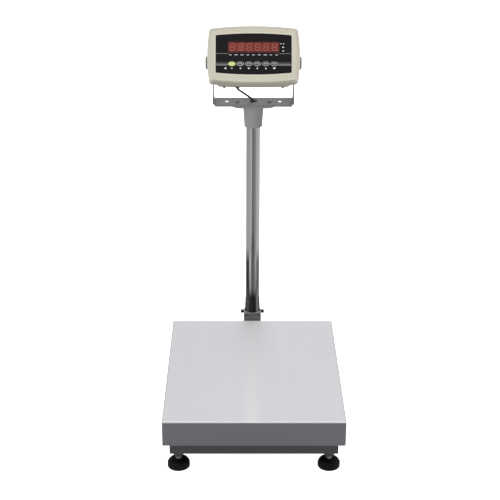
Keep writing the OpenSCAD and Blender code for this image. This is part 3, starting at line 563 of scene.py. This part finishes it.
# The finish of each material slot of the record
FINISH = {
    "pan_steel": pan_steel(),
    "tube_chrome": tube_steel(),
    "dark_paint": powder("dark_paint", grey(37, -0.01), 0.5, grey(100)),
    "socket_paint": powder("socket_paint", grey(112, -0.01), 0.5, grey(150)),
    "collar_paint": collar_paint(),
    "yoke_paint": powder("yoke_paint", grey(97, -0.01), 0.5, grey(140)),
    "inner_paint": powder("inner_paint", grey(92), 0.55),
    "cell_alloy": plated("cell_alloy", grey(200), 0.38, 0.02),
    "plate_steel": plated("plate_steel", grey(150), 0.42, 0.02),
    "zinc": plated("zinc", grey(212, 0.01), 0.28),
    "black_screw": moulded("black_screw", grey(16), 0.38),
    "black_rubber": rubber("black_rubber", grey(20)),
    "foot_rubber": rubber("foot_rubber", grey(5), 0.6, 0.03, 0.1),
    "cable_black": moulded("cable_black", grey(16), 0.42, 0.02),
    "sleeve_plastic": sleeve_plastic(),
    "black_plastic": moulded("black_plastic", grey(26), 0.45),
    "head_plastic": head_plastic(),
    "case_plastic": case_plastic(),
    "panel_black": moulded("panel_black", PANEL_COLOUR, 0.42, 0.006, 0.06, shine=0.1),
    "board_green": moulded("board_green", srgb(28, 92, 56), 0.35, 0.01),
    "battery_case": moulded("battery_case", srgb(46, 52, 66), 0.4, 0.02),
    "knob_plastic": moulded("knob_plastic", grey(118), 0.5, 0.03),
    "bumper": moulded("bumper", srgb(146, 141, 130), 0.6, 0.02),
    "key_green": moulded("key_green", srgb(190, 206, 136), 0.4, 0.012, 0.03, shine=0.2),
    "key_dark": moulded("key_dark", grey(48), 0.42, 0.012, shine=0.2),
    "digit_red": moulded("digit_red", srgb(48, 14, 11), 0.45),
    "window_red": window_glass(),
    "vial": vial_liquid(),
}
STUD_ZINC = plated("stud_zinc", grey(150), 0.4)
# Lighter ivory for the panel's bead: a painted highlight
BEAD_PAINTED_HIGHLIGHT = moulded("bead_painted_highlight", srgb(204, 199, 184), 0.45, 0.02, 0.02)
SEGMENT = lit("segment_lit", srgb(196, 122, 106), 0.36)
FACE_RED = lit("display_face", srgb(150, 58, 46), 0.34)
LABEL_INK = print_ink("label_ink", grey(232))
KEY_INK = print_ink("key_ink", grey(172), 0.45)
HALO_GREEN = print_ink("dark_green_ring", srgb(40, 56, 14))
RIM_SILVER = print_ink("key_rim", srgb(158, 164, 152))
BAND_SILVER = band_ink()

# ---- The frame's own nodes ----

NODE_SMOOTH = 32
# Widths of the rounded edges, in millimetres
BEVELS = {
    "platter": 0.35, "base_frame": 0.8, "load_frame": 0.6, "column_socket": 0.6, "lower_spacer": 0.3,
    "upper_spacer": 0.3, "lower_cell_bolts": 0.3, "upper_cell_bolts": 0.3, "overload_stops": 0.4,
    "foot_lock_nuts": 0.5, "socket_bolts": 0.4, "clamp_collar": 0.7, "clamp_sleeve": 0.5,
    "clamp_screw_left": 0.4, "clamp_screw_right": 0.4, "column_head": 0.9, "yoke": 0.35,
    "yoke_screws": 0.4, "cable_grommet": 0.5, "rear_housing": 0.5, "battery_cover": 0.4,
    "cable_gland": 0.35, "case_screws": 0.2, "tilt_washers": 0.3, "knob_left": 0.6, "knob_right": 0.6,
    "knob_washer_left": 0.15, "knob_washer_right": 0.15, "level_housing": 0.4, "level_vial": 0.5,
    "load_cell": 0.4, "platter_pads": 0.5, "power_inlet": 0.3, "case_bumpers": 0.6, "head_set_screw": 0.2,
}


def finish_nodes():
    """Gives every node of the frame its finish, smooth shading and rounded edges."""
    for name, node in NODES.items():
        node.data.materials.clear()
        node.data.materials.append(FINISH[SLOTS[name]])
        shade(node, NODE_SMOOTH)
        if name in BEVELS:
            bevel(node, BEVELS[name], NODE_SMOOTH)


# ---- Indicator: bezel ----

CASE_LOW, CASE_HIGH = face_box("front_housing")
PANEL_LOW, PANEL_HIGH = face_box("panel_overlay")
WINDOW_LOW, WINDOW_HIGH = face_box("display_window")
CASE_W = CASE_HIGH.x - CASE_LOW.x
CASE_H = CASE_HIGH.z - CASE_LOW.z
CASE_Z = (CASE_HIGH.z + CASE_LOW.z) / 2
FRONT, BACK = CASE_LOW.y, CASE_HIGH.y
PANEL_W = PANEL_HIGH.x - PANEL_LOW.x
PANEL_H = PANEL_HIGH.z - PANEL_LOW.z
PANEL_Z = (PANEL_HIGH.z + PANEL_LOW.z) / 2
PANEL_FRONT, PANEL_BACK = PANEL_LOW.y, PANEL_HIGH.y
# How far the case's sides close in from its back to its front
DRAFT = 9.0
# How far the sides and the top of the case and of the panel bow out
CASE_BOW = (6.5, 7.5)
PANEL_BOW = (0.12, 4.5)
CASE_CORNER = 9.0
FOLD_CORNER = 6.0
# Width of the ledge that the rear shell meets
LEDGE = 20.0


def arc_radius(half, rise):
    """Radius of an arc, from half its chord and its rise."""
    return (half * half + rise * rise) / (2 * rise)


def arched(w, h, z, bow, corner, inset, sides=8, turns=8, tops=18):
    """Outline with bowed sides and round corners, always with the same number of points."""
    side = arc_radius(h / 2, bow[0])
    top = arc_radius(w / 2, bow[1])
    # A corner's centre lies where the side's and the top's circles, both made smaller by it, meet
    a, b = Vector((w / 2 - side, 0)), Vector((0, h / 2 - top))
    ra, rb = side - corner, top - corner
    d = (b - a).length
    along = (ra * ra - rb * rb + d * d) / (2 * d)
    up = math.sqrt(max(0.0, ra * ra - along * along))
    way = (b - a) / d
    options = [a + way * along + Vector((-way.y, way.x)) * s * up for s in (1, -1)]
    c = max(options, key=lambda p: p.x + p.y)
    low = math.atan2((c - a).y, (c - a).x)
    high = math.atan2((c - b).y, (c - b).x)
    stretches = ((a, side, 0, low, sides), (c, corner, low, high, turns), (b, top, high, math.pi / 2, tops))
    quarter = []
    for centre, radius, start, end, count in stretches:
        for i in range(count):
            t = start + (end - start) * i / count
            quarter.append(centre + Vector((math.cos(t), math.sin(t))) * (radius - inset))
    back = [Vector((0, b.y + top - inset))] + quarter[:0:-1]
    points = [(p.x, p.y) for p in quarter] + [(-p.x, p.y) for p in back]
    points += [(-x, -y) for x, y in points]
    return [(x, z + v) for x, v in points]


def case_ring(y, inset, radius):
    """Ring on the case at a depth, drawn in by an inset, with its corners' own radius."""
    outline = arched(CASE_W, CASE_H, CASE_Z, CASE_BOW, inset + radius, inset)
    return [(x, y, z) for x, z in outline]


def side_ring(y, inset=0.0):
    """Ring on the case's sides, which close in and tighten their corners towards the front."""
    ahead = (BACK - y) / (BACK - FRONT)
    return case_ring(y, inset + DRAFT * ahead, CASE_CORNER + (FOLD_CORNER - CASE_CORNER) * ahead)


def panel_ring(y, grow, corner=2.2):
    """Ring along the panel's outline, grown by a margin."""
    return [(x, y, z) for x, z in arched(PANEL_W, PANEL_H, PANEL_Z, PANEL_BOW, corner, -grow)]


def add_bezel():
    """Front shell: from its back edge over the sides, the fold and the panel's seat, and back inside."""
    bm = bmesh.new()
    closed_loop(bm, [
        case_ring(BACK, 0.7, 8.5), side_ring(BACK - 0.25, 0.1), side_ring(BACK - 0.8),
        side_ring(FRONT + 8.0), side_ring(FRONT + 1.4), case_ring(FRONT + 0.7, DRAFT + 0.15, FOLD_CORNER),
        case_ring(FRONT + 0.2, DRAFT + 0.6, FOLD_CORNER), case_ring(FRONT, DRAFT + 1.6, 5.0),
        panel_ring(FRONT, 3.4), panel_ring(FRONT + 0.12, 2.6), panel_ring(PANEL_FRONT + 0.1, 1.2),
        panel_ring(PANEL_FRONT + 0.25, 0.35), panel_ring(PANEL_BACK, 0.3), panel_ring(PANEL_BACK, -3.0, 5.0),
        panel_ring(PANEL_BACK + 1.7, -3.0, 5.0), case_ring(FRONT + 4.6, DRAFT + 2.5, 4.0),
        case_ring(BACK - 2.0, 3.2, FOLD_CORNER), case_ring(BACK - 2.0, LEDGE, 4.0),
        case_ring(BACK, LEDGE, 4.0)])
    make("bezel", bm, "indicator", FINISH["case_plastic"], 28, FACE_FROM_MM,
         ["front_housing"])


def add_panel_bead():
    """Raised bead round the panel, in a lighter ivory that paints a highlight on it."""
    bm = bmesh.new()
    closed_loop(bm, [
        panel_ring(FRONT + 0.3, 3.3), panel_ring(FRONT - 0.15, 3.1), panel_ring(FRONT - 0.3, 2.4),
        panel_ring(FRONT - 0.1, 1.6), panel_ring(PANEL_FRONT, 0.7), panel_ring(PANEL_FRONT + 0.2, 0.5)])
    make("panel_bead", bm, "indicator", BEAD_PAINTED_HIGHLIGHT, 50, FACE_FROM_MM)


# ---- Indicator: printed panel ----

KEY_BOXES = {name: face_box(name)
             for name in ("key_power", "key_zero", "key_tare", "key_hold", "key_mode", "key_print")}
KEY_XS = {name: (low.x + high.x) / 2 for name, (low, high) in KEY_BOXES.items()}
KEY_Z = sum((low.z + high.z) / 2 for low, high in KEY_BOXES.values()) / len(KEY_BOXES)
KEY_LOW, KEY_HIGH = KEY_BOXES["key_zero"]
KEY_W = KEY_HIGH.x - KEY_LOW.x
KEY_H = KEY_HIGH.z - KEY_LOW.z
KEY_TOP, KEY_BACK = KEY_LOW.y, KEY_HIGH.y
FIRST_KEY_X, LAST_KEY_X = min(KEY_XS.values()), max(KEY_XS.values())
INK_LIFT = 0.09
INK_T = 0.08
FLAT_SMOOTH = 60
# How far the printed bands reach to either side, and the heights of the thin line and of the wide band
BAND_END = PANEL_W / 2 - 0.6
LINE_Z = WINDOW_LOW.z - 1.7
LINE_HALF = 1.7
WIDE_LOW, WIDE_MID, WIDE_HIGH = KEY_Z - 5.4, KEY_Z - 3.4, KEY_Z + 7.0
CAPTIONS = 9
CAPTION_PITCH = 14.15
CAPTION_Z = WINDOW_LOW.z - 4.9
# Spacing of the three strokes of a caption, repeated along the row
CAPTION_STROKES = (2.2, 2.5, 2.8, 1.8)
# Marks to the right of the display: x, height above the panel's middle, and width
SIDE_MARKS = ((66.5, 25.3, 2.6), (72.6, 25.3, 2.6), (72.0, 16.4, 4.6), (72.0, 7.5, 3.6))
SYMBOL_Z = KEY_Z - 11.0


def printed(name, outlines):
    """Thin print on the panel."""
    bm = bmesh.new()
    front = PANEL_FRONT - INK_LIFT
    for outline in outlines:
        slab(bm, outline, front, front + INK_T)
    make(name, bm, "indicator", LABEL_INK, FLAT_SMOOTH, FACE_FROM_MM)


def band(name, x_from, x_to, z_low, z_mid, z_high, steps=6):
    """Band of silver print that fades out below and above its brightest line."""
    bm = bmesh.new()
    fade = bm.verts.layers.float.new("fade")
    heights = [z_low + (z_mid - z_low) * i / steps for i in range(steps)]
    heights += [z_mid + (z_high - z_mid) * i / steps for i in range(steps + 1)]
    rows = []
    for z in heights:
        strength = 1 - abs(z - z_mid) / ((z_high - z_mid) if z > z_mid else (z_mid - z_low))
        row = [bm.verts.new((x, PANEL_FRONT - 0.05, z)) for x in (x_from, x_to)]
        for v in row:
            v[fade] = max(0.0, strength)
        rows.append(row)
    for a, b in zip(rows, rows[1:]):
        bm.faces.new((a[0], a[1], b[1], b[0]))
    make(name, bm, "indicator", BAND_SILVER, FLAT_SMOOTH, FACE_FROM_MM)


def add_bands():
    """Thin line level with the display's foot and wide band behind the keys, on both sides of them."""
    line = (LINE_Z - LINE_HALF, LINE_Z, LINE_Z + LINE_HALF)
    wide = (WIDE_LOW, WIDE_MID, WIDE_HIGH)
    band("upper_line_left", -BAND_END, WINDOW_LOW.x + 1, *line)
    band("upper_line_right", WINDOW_HIGH.x - 1, BAND_END, *line)
    band("silver_band_left", -BAND_END, FIRST_KEY_X - KEY_W / 2 - 1.2, *wide)
    band("silver_band_right", LAST_KEY_X + KEY_W / 2 + 0.4, BAND_END, *wide)


def add_captions():
    """Plain bars where the captions under and beside the display would be."""
    marks = []
    for i in range(CAPTIONS):
        cx = CAPTION_PITCH * i - 57.0
        spread = CAPTION_STROKES[i % len(CAPTION_STROKES)]
        for k in range(3):
            tall = 1.9 if (i + k) % 2 else 1.5
            marks.append(pill(cx + (k - 1) * spread, CAPTION_Z, spread * 0.84, tall, 3))
    for x, z, w in SIDE_MARKS:
        marks.append(pill(x, PANEL_Z + z, w, 2.2, 4))
    printed("caption_marks", marks)


def moved(points, x):
    """Outline drawn about zero, moved to an x under the keys."""
    return [(x + px, SYMBOL_Z + pz) for px, pz in points]


def add_symbols():
    """Simple shapes where the symbols under the keys would be."""
    printed("symbol_marks", [
        ellipse(FIRST_KEY_X - KEY_W / 2 - 6.6, SYMBOL_Z, 4.2, 4.2, 20),
        pill(KEY_XS["key_power"], SYMBOL_Z, 4.4, 1.5, 4),
        moved([(-2.2, 0), (1.6, -2.1), (1.6, 2.1)], KEY_XS["key_zero"]),
        pill(KEY_XS["key_tare"], SYMBOL_Z, 4.8, 2.6, 5),
        moved([(-2.0, 0), (0, -2.4), (2.0, 0), (0, 2.4)], KEY_XS["key_hold"]),
        moved([(-1.3, -2.3), (1.3, -2.3), (1.3, 0.3), (0, 2.3), (-1.3, 0.3)], KEY_XS["key_mode"]),
        moved([(-3.6, 1.8), (-0.8, -1.8), (0.8, -1.8), (3.6, 1.8)], KEY_XS["key_print"])])


# ---- Indicator: lit display ----

MODULES_LOW, MODULES_HIGH = face_box("display_module")
DIGITS = 6
DIGIT_PITCH = (MODULES_HIGH.x - MODULES_LOW.x + 0.4) / DIGITS
DIGIT_W = 12.4
DIGIT_H = 19.4
DIGIT_SHIFT = -0.8
DIGIT_SLANT = 0.06
BAR = 2.4
BAR_GAP = 0.35
POINT = 2.2
LIT_Z = (WINDOW_LOW.z + WINDOW_HIGH.z) / 2 + 0.8
LIT_FACE_H = 20.8
GLASS_BACK = PANEL_BACK + 0.04


def bar_outline(start, end):
    """Lit bar with pointed ends between two points."""
    a, b = Vector(start), Vector(end)
    way = (b - a).normalized()
    side = Vector((-way.y, way.x)) * BAR / 2
    tip = way * BAR / 2
    a, b = a + way * BAR_GAP, b - way * BAR_GAP
    return [tuple(p) for p in (a, a + tip + side, b - tip + side, b, b - tip - side, a + tip - side)]


def add_segments():
    """Seven lit bars and a point for each digit."""
    hx, hz = DIGIT_W / 2 - BAR / 2, DIGIT_H / 2 - BAR / 2
    ends = [((-hx, hz), (hx, hz)), ((-hx, 0), (hx, 0)), ((-hx, -hz), (hx, -hz)), ((-hx, 0), (-hx, hz)),
            ((-hx, -hz), (-hx, 0)), ((hx, 0), (hx, hz)), ((hx, -hz), (hx, 0))]
    bm = bmesh.new()
    for d in range(DIGITS):
        cx = (d - (DIGITS - 1) / 2) * DIGIT_PITCH + DIGIT_SHIFT
        bars = [[(cx + x + DIGIT_SLANT * z, LIT_Z + z) for x, z in bar_outline(*pair)] for pair in ends]
        bars.append(ellipse(cx + DIGIT_W / 2 + 2.0, LIT_Z - hz - 0.4, POINT, POINT, 14))
        for outline in bars:
            slab(bm, outline, GLASS_BACK, GLASS_BACK + 0.06)
    make("digit_segments", bm, "indicator", SEGMENT, FLAT_SMOOTH, FACE_FROM_MM)


def add_display_faces():
    """Glowing face of each digit block, behind its segments."""
    bm = bmesh.new()
    for d in range(DIGITS):
        cx = (d - (DIGITS - 1) / 2) * DIGIT_PITCH
        slab(bm, plate(cx, LIT_Z, DIGIT_PITCH - 0.3, LIT_FACE_H, 0.6), GLASS_BACK + 0.07, GLASS_BACK + 0.14)
    make("display_faces", bm, "indicator", FACE_RED, FLAT_SMOOTH, FACE_FROM_MM)


# ---- Indicator: keys ----

def add_cap(name, slot):
    """Domed oval cap of a key."""
    cx, w, h = KEY_XS[name], KEY_W - 0.4, KEY_H - 0.3
    bm = bmesh.new()
    loft(bm, on_face([(y, ellipse(cx, KEY_Z, w * share, h * share)) for y, share in (
        (KEY_BACK, 1.0), (PANEL_FRONT + 0.1, 1.0), (PANEL_FRONT - 0.25, 0.985), (PANEL_FRONT - 0.45, 0.94),
        (PANEL_FRONT - 0.6, 0.84), (PANEL_FRONT - 0.7, 0.68), (PANEL_FRONT - 0.76, 0.48),
        (KEY_TOP + 0.01, 0.24))]))
    make(name + "_cap", bm, name, FINISH[slot], 30, FACE_FROM_MM, [name])


def add_rim(name):
    """Raised silver rim of a dark key."""
    outer, mid, inner = (ellipse(KEY_XS[name], KEY_Z, KEY_W - dw, KEY_H - dh)
                         for dw, dh in ((0, 0), (1.2, 1.2), (2.8, 2.6)))
    bm = bmesh.new()
    closed_loop(bm, on_face((
        (PANEL_FRONT - 0.3, outer), (PANEL_FRONT - 0.62, outer), (PANEL_FRONT - 0.8, mid),
        (PANEL_FRONT - 0.78, inner), (PANEL_FRONT - 0.4, inner))))
    make(name + "_rim", bm, name, RIM_SILVER, 40, FACE_FROM_MM)


def add_key_marks(name):
    """Three short plain strokes on a dark key."""
    bm = bmesh.new()
    for k in range(3):
        stroke = pill(KEY_XS[name] + (k - 1) * 3.5, KEY_Z + 0.1, 2.6, 3.0, 4)
        slab(bm, stroke, KEY_TOP - 0.02, KEY_TOP + 0.22)
    make(name + "_marks", bm, name, KEY_INK, FLAT_SMOOTH, FACE_FROM_MM)


def add_halo(name):
    """Dark green ring round a key."""
    outer, inner = (ellipse(KEY_XS[name], KEY_Z, KEY_W + grow, KEY_H + grow) for grow in (3.4, 0.5))
    bm = bmesh.new()
    closed_loop(bm, on_face((
        (PANEL_FRONT + 0.3, outer), (PANEL_FRONT - 0.12, outer), (PANEL_FRONT - 0.12, inner),
        (PANEL_FRONT + 0.3, inner))))
    make("power_key_rim", bm, "indicator", HALO_GREEN, 40, FACE_FROM_MM)


def add_keys():
    """One green key with a dark green ring, and dark keys with rims and strokes."""
    dark = [name for name in KEY_XS if name != "key_power"]
    add_cap("key_power", "key_green")
    add_halo("key_power")
    for name in dark:
        add_cap(name, "key_dark")
        add_rim(name)
        add_key_marks(name)


# ---- Signal cable from the column's head to the indicator ----

CABLE_R = 2.5 * MM
CABLE_SIDES = 16
CABLE_STEPS = 24


def tube_mesh(path, radius, sides):
    """Round skin along a path."""
    rings = []
    side = Vector((1, 0, 0.2)).normalized()
    for i, p in enumerate(path):
        way = (path[min(i + 1, len(path) - 1)] - path[max(i - 1, 0)]).normalized()
        side = (side - way * side.dot(way)).normalized()
        up = way.cross(side)
        rings.append([p + (side * math.cos(a) + up * math.sin(a)) * radius for a in turn(sides)])
    bm = bmesh.new()
    loft(bm, rings)
    return bm


def curve_point(a, b, c, d, t):
    """Point on the cubic curve from a to d with handles b and c."""
    return a * (1 - t) ** 3 + b * 3 * t * (1 - t) ** 2 + c * 3 * t * t * (1 - t) + d * t ** 3


def add_signal_lead():
    """Cable that runs up inside the tube, leaves through the grommet and bends over to the gland."""
    grommet = middle("cable_grommet")
    gland_low, gland_high = face_box("cable_gland")
    gland = Vector(((gland_low.x + gland_high.x) / 2, (gland_low.y + gland_high.y) / 2, gland_low.z))
    foot_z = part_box("column_tube")[0].z
    leaves = Vector((grommet.x, grommet.y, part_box("yoke_screws")[1].z - 1.2 * MM))
    rise = leaves + Vector((-5, -1.5, 8)) * MM
    enters, hang, inside = (FACE_FROM_MM @ (gland + Vector(offset))
                            for offset in ((0, 0, -0.5), (1.5, 0, -4.0), (0, 0, 7.5)))
    path = [Vector((grommet.x, grommet.y, foot_z + (leaves.z - foot_z) * i / CABLE_STEPS))
            for i in range(CABLE_STEPS)]
    path += [curve_point(leaves, rise, hang, enters, i / CABLE_STEPS) for i in range(CABLE_STEPS + 1)]
    path.append(inside)
    bm = tube_mesh(path, CABLE_R, CABLE_SIDES)
    lead = make("signal_lead", bm, None, FINISH["cable_black"], 60, None, ["signal_cable"])
    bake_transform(lead)


# ---- Feet: threaded studs in ribbed rubber pads ----

PLACES = ("front_left", "front_right", "back_left", "back_right")
FIT = 0.1
BALL_R = 6.0
HEX_H = 6.0
HEX_POINTS = 48
THREAD_R = 4.98
THREAD_PITCH = 1.5
THREAD_DEPTH = 0.62
STUD_SIDES = 32
PAD_SIDES = 96
# Radius of the pad's rounded shoulder
SHOULDER = 12.0
RIBS = 8
RIB_H = 0.45


def thread_profile(z_from, z_to):
    """Saw-tooth profile of the stud's thread."""
    root, flank = THREAD_R - THREAD_DEPTH, THREAD_R - THREAD_DEPTH * 0.9
    profile = []
    z = z_from
    while z < z_to - THREAD_PITCH:
        profile += [(r, z + share * THREAD_PITCH) for r, share in (
            (root, 0), (flank, 0.12), (THREAD_R, 0.45), (THREAD_R, 0.58), (flank, 0.9))]
        z += THREAD_PITCH
    profile.append((root, z))
    return profile


def hex_ring(across, cx, cy, z, shrink):
    """Ring on a hexagon, with its corners pulled towards a circle by shrink."""
    flat = across / 2
    ring = []
    for a in turn(HEX_POINTS):
        from_flat = (a + math.pi / 6) % (math.pi / 3) - math.pi / 6
        r = min(flat / math.cos(from_flat), flat * (1.155 - shrink))
        ring.append((cx + r * math.cos(a + math.pi / 6), cy + r * math.sin(a + math.pi / 6), z))
    return ring


def add_stud(place, neck_z):
    """Ball end, hexagon and threaded stem of a foot's stud."""
    stud = "foot_stud_" + place
    low, high = frame_box(stud)
    cx, cy = (low.x + high.x) / 2, (low.y + high.y) / 2
    across = min(high.x - low.x, high.y - low.y)
    hex_low = neck_z + FIT
    hex_high = hex_low + HEX_H
    chamfer = 0.6
    bm = bmesh.new()
    lathe(bm, [(BALL_R - 0.8, low.z), (BALL_R, low.z + 0.8), (BALL_R, hex_low)], cx, cy, STUD_SIDES)
    loft(bm, [hex_ring(across, cx, cy, z, shrink) for z, shrink in (
        (hex_low, 0.13), (hex_low + chamfer, 0.0), (hex_high - chamfer, 0.0), (hex_high, 0.13))])
    stem = [(4.9, hex_high - 0.2)] + thread_profile(hex_high + FIT, high.z - 1.2)
    lathe(bm, stem + [(4.2, high.z - 0.8), (3.6, high.z)], cx, cy, STUD_SIDES)
    make("threaded_stud_" + place, bm, stud, STUD_ZINC, 30, FROM_MM, [stud])


def add_pad(place):
    """Dome with a parting line and shallow ribs, a short neck, and a socket for the ball end."""
    pad = "foot_pad_" + place
    low, high = frame_box(pad)
    cx, cy = (low.x + high.x) / 2, (low.y + high.y) / 2
    r, top = (high.x - low.x) / 2, high.z
    rim = top - SHOULDER - 0.5
    outside = [(r - 2.0, 0.0), (r - 0.5, 0.4), (r, 1.4), (r, 4.0), (r - 0.35, 4.3), (r, 4.6), (r, rim)]
    for k in range(1, 11):
        t = math.pi * k / 20
        outside.append((r - SHOULDER + SHOULDER * math.cos(t), rim + SHOULDER * math.sin(t)))
    outside += [(12.6, top - 0.4), (11.6, top - 0.3), (11.0, top - 0.1), (10.4, top)]
    rings = []
    for pr, pz in outside:
        ring = []
        for a in turn(PAD_SIDES):
            rib = RIB_H * max(0.0, math.cos(RIBS * a)) ** 8 if rim + 1 < pz < rim + 11 else 0.0
            ring.append((cx + (pr + rib) * math.cos(a), cy + (pr + rib) * math.sin(a), pz + rib * 0.4))
        rings.append(ring)
    socket_z = frame_box("foot_stud_" + place)[0].z - FIT
    rings += [circle(cx, cy, BALL_R + FIT, z, PAD_SIDES) for z in (top, socket_z)]
    bm = bmesh.new()
    loft(bm, rings)
    make("foot_rubber_" + place, bm, pad, FINISH["foot_rubber"], 35, FROM_MM, [pad])


def add_feet():
    for place in PLACES:
        add_stud(place, frame_box("foot_pad_" + place)[1].z)
        add_pad(place)


# ---- Load cell and bubble level ----

BEND_SPAN = 60 * MM
BEND_CUTS = 12
RING_SIDES = 40


def add_load_cell():
    """The load cell again, with its rounded edges, cut across at even steps along its middle."""
    mid = middle("load_cell")
    bpy.context.view_layer.update()
    rounded = NODES["load_cell"].evaluated_get(bpy.context.evaluated_depsgraph_get())
    bm = bmesh.new()
    bm.from_mesh(bpy.data.meshes.new_from_object(rounded))
    for i in range(BEND_CUTS + 1):
        cut_y = mid.y + BEND_SPAN * (i / BEND_CUTS - 0.5)
        bmesh.ops.bisect_plane(bm, geom=bm.verts[:] + bm.edges[:] + bm.faces[:], dist=1e-7,
                               plane_co=(0, cut_y, 0), plane_no=(0, 1, 0))
    cell = make("bending_cell", bm, None, FINISH["cell_alloy"], 32, None, ["load_cell"])
    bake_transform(cell)


def add_level_rings():
    """Two thin target rings on the bubble level's glass."""
    low, high = frame_box("level_vial")
    cx, cy = (low.x + high.x) / 2, (low.y + high.y) / 2
    top, half, thick = high.z, 0.14, 0.1
    bm = bmesh.new()
    for r in (2.3, 4.6):
        closed_loop(bm, [circle(cx, cy, ring_r, z, RING_SIDES) for ring_r, z in (
            (r - half, top), (r - half, top + thick), (r + half, top + thick), (r + half, top))])
    make("level_rings", bm, "base", FINISH["black_plastic"], 60, FROM_MM)


# ---- Stage, light and camera ----

FLOOR_Z = -0.5 * MM
FLOOR_RINGS = (0.01, 0.6, 2.0, 6.0, 14.0, 30.0)
# Grey of the room by height, from the horizon at 0 to straight up at 1
ROOM_GREYS = ((0.0, 0.98), (1.0, 1.0), (0.08, 0.95), (0.35, 0.86), (0.7, 0.9))
ROOM_LIGHT = 0.82
ROOM_SEEN = 1.18
# Place, target, width and height, and power of each soft light
SOFTBOXES = {
    "key": ((-1.6, -1.6, 2.6), (0, 0, 0.4), (1.6, 1.6), 26),
    "fill": ((2.0, -1.4, 1.8), (0, 0, 0.5), (1.8, 1.8), 14),
    "back": ((0.3, 2.6, 2.4), (0, 0, 0.4), (2.2, 1.2), 14),
}
SENSOR_W = 36.0
LENS = 89.93
# The camera's place from the middle of the pan's top, and its heading, pitch and roll in degrees
CAMERA_OFFSET = Vector((-0.029, -2.706, 1.482))
CAMERA_TURNS = ((-0.42, "Z"), (66.68, "X"), (0.23, "Z"))


def add_floor():
    """Wide round floor just under the feet."""
    bm = bmesh.new()
    loft(bm, [circle(0, 0, r, FLOOR_Z, 64) for r in FLOOR_RINGS], far_cap=False)
    bmesh.ops.recalc_face_normals(bm, faces=bm.faces)
    mesh = bpy.data.meshes.new("floor")
    bm.to_mesh(mesh)
    bm.free()
    mesh.materials.append(white_floor())
    floor = bpy.data.objects.new("floor", mesh)
    bpy.context.scene.collection.objects.link(floor)


def light_room():
    """Bright room around the object. The camera sees it as white as the floor, so no horizon shows."""
    world = bpy.data.worlds.new("studio")
    bpy.context.scene.world = world
    world.use_nodes = True
    tree = world.node_tree
    background = tree.nodes["Background"]
    coords = tree.nodes.new("ShaderNodeTexCoord")
    split = tree.nodes.new("ShaderNodeSeparateXYZ")
    ramp = tree.nodes.new("ShaderNodeValToRGB")
    tree.links.new(coords.outputs["Generated"], split.inputs[0])
    tree.links.new(split.outputs["Z"], ramp.inputs[0])
    tree.links.new(ramp.outputs[0], background.inputs["Color"])
    bar = ramp.color_ramp
    for i, (at, value) in enumerate(ROOM_GREYS):
        element = bar.elements[i] if i < 2 else bar.elements.new(at)
        element.position = at
        element.color = (value, value, value, 1)
    to_camera = tree.nodes.new("ShaderNodeLightPath")
    strength = tree.nodes.new("ShaderNodeMapRange")
    strength.inputs["To Min"].default_value = ROOM_LIGHT
    strength.inputs["To Max"].default_value = ROOM_SEEN
    tree.links.new(to_camera.outputs["Is Camera Ray"], strength.inputs["Value"])
    tree.links.new(strength.outputs[0], background.inputs["Strength"])


def add_softbox(name, place, target, size, power):
    light = bpy.data.lights.new(name, "AREA")
    light.shape = "RECTANGLE"
    light.size, light.size_y = size
    light.energy = power
    lamp = bpy.data.objects.new(name, light)
    lamp.location = place
    lamp.rotation_euler = (Vector(target) - Vector(place)).to_track_quat("-Z", "Y").to_euler()
    bpy.context.scene.collection.objects.link(lamp)


def add_camera():
    low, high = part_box("platter")
    pan_top = Vector(((low.x + high.x) / 2, (low.y + high.y) / 2, high.z))
    data = bpy.data.cameras.new("camera")
    data.lens = LENS
    data.sensor_width = SENSOR_W
    data.clip_end = 100
    camera = bpy.data.objects.new("camera", data)
    bpy.context.scene.collection.objects.link(camera)
    pose = Matrix.Translation(pan_top + CAMERA_OFFSET)
    for degrees, axis in CAMERA_TURNS:
        pose = pose @ Matrix.Rotation(math.radians(degrees), 4, axis)
    camera.matrix_world = pose
    bpy.context.scene.camera = camera
    bpy.context.scene.view_settings.view_transform = "Standard"


# ---- Build ----

finish_nodes()
add_bezel()
add_panel_bead()
add_bands()
add_captions()
add_symbols()
add_segments()
add_display_faces()
add_keys()
add_signal_lead()
add_feet()
add_load_cell()
add_level_rings()
add_floor()
light_room()
for name, values in SOFTBOXES.items():
    add_softbox(name, *values)
add_camera()

bpy.context.view_layer.update()
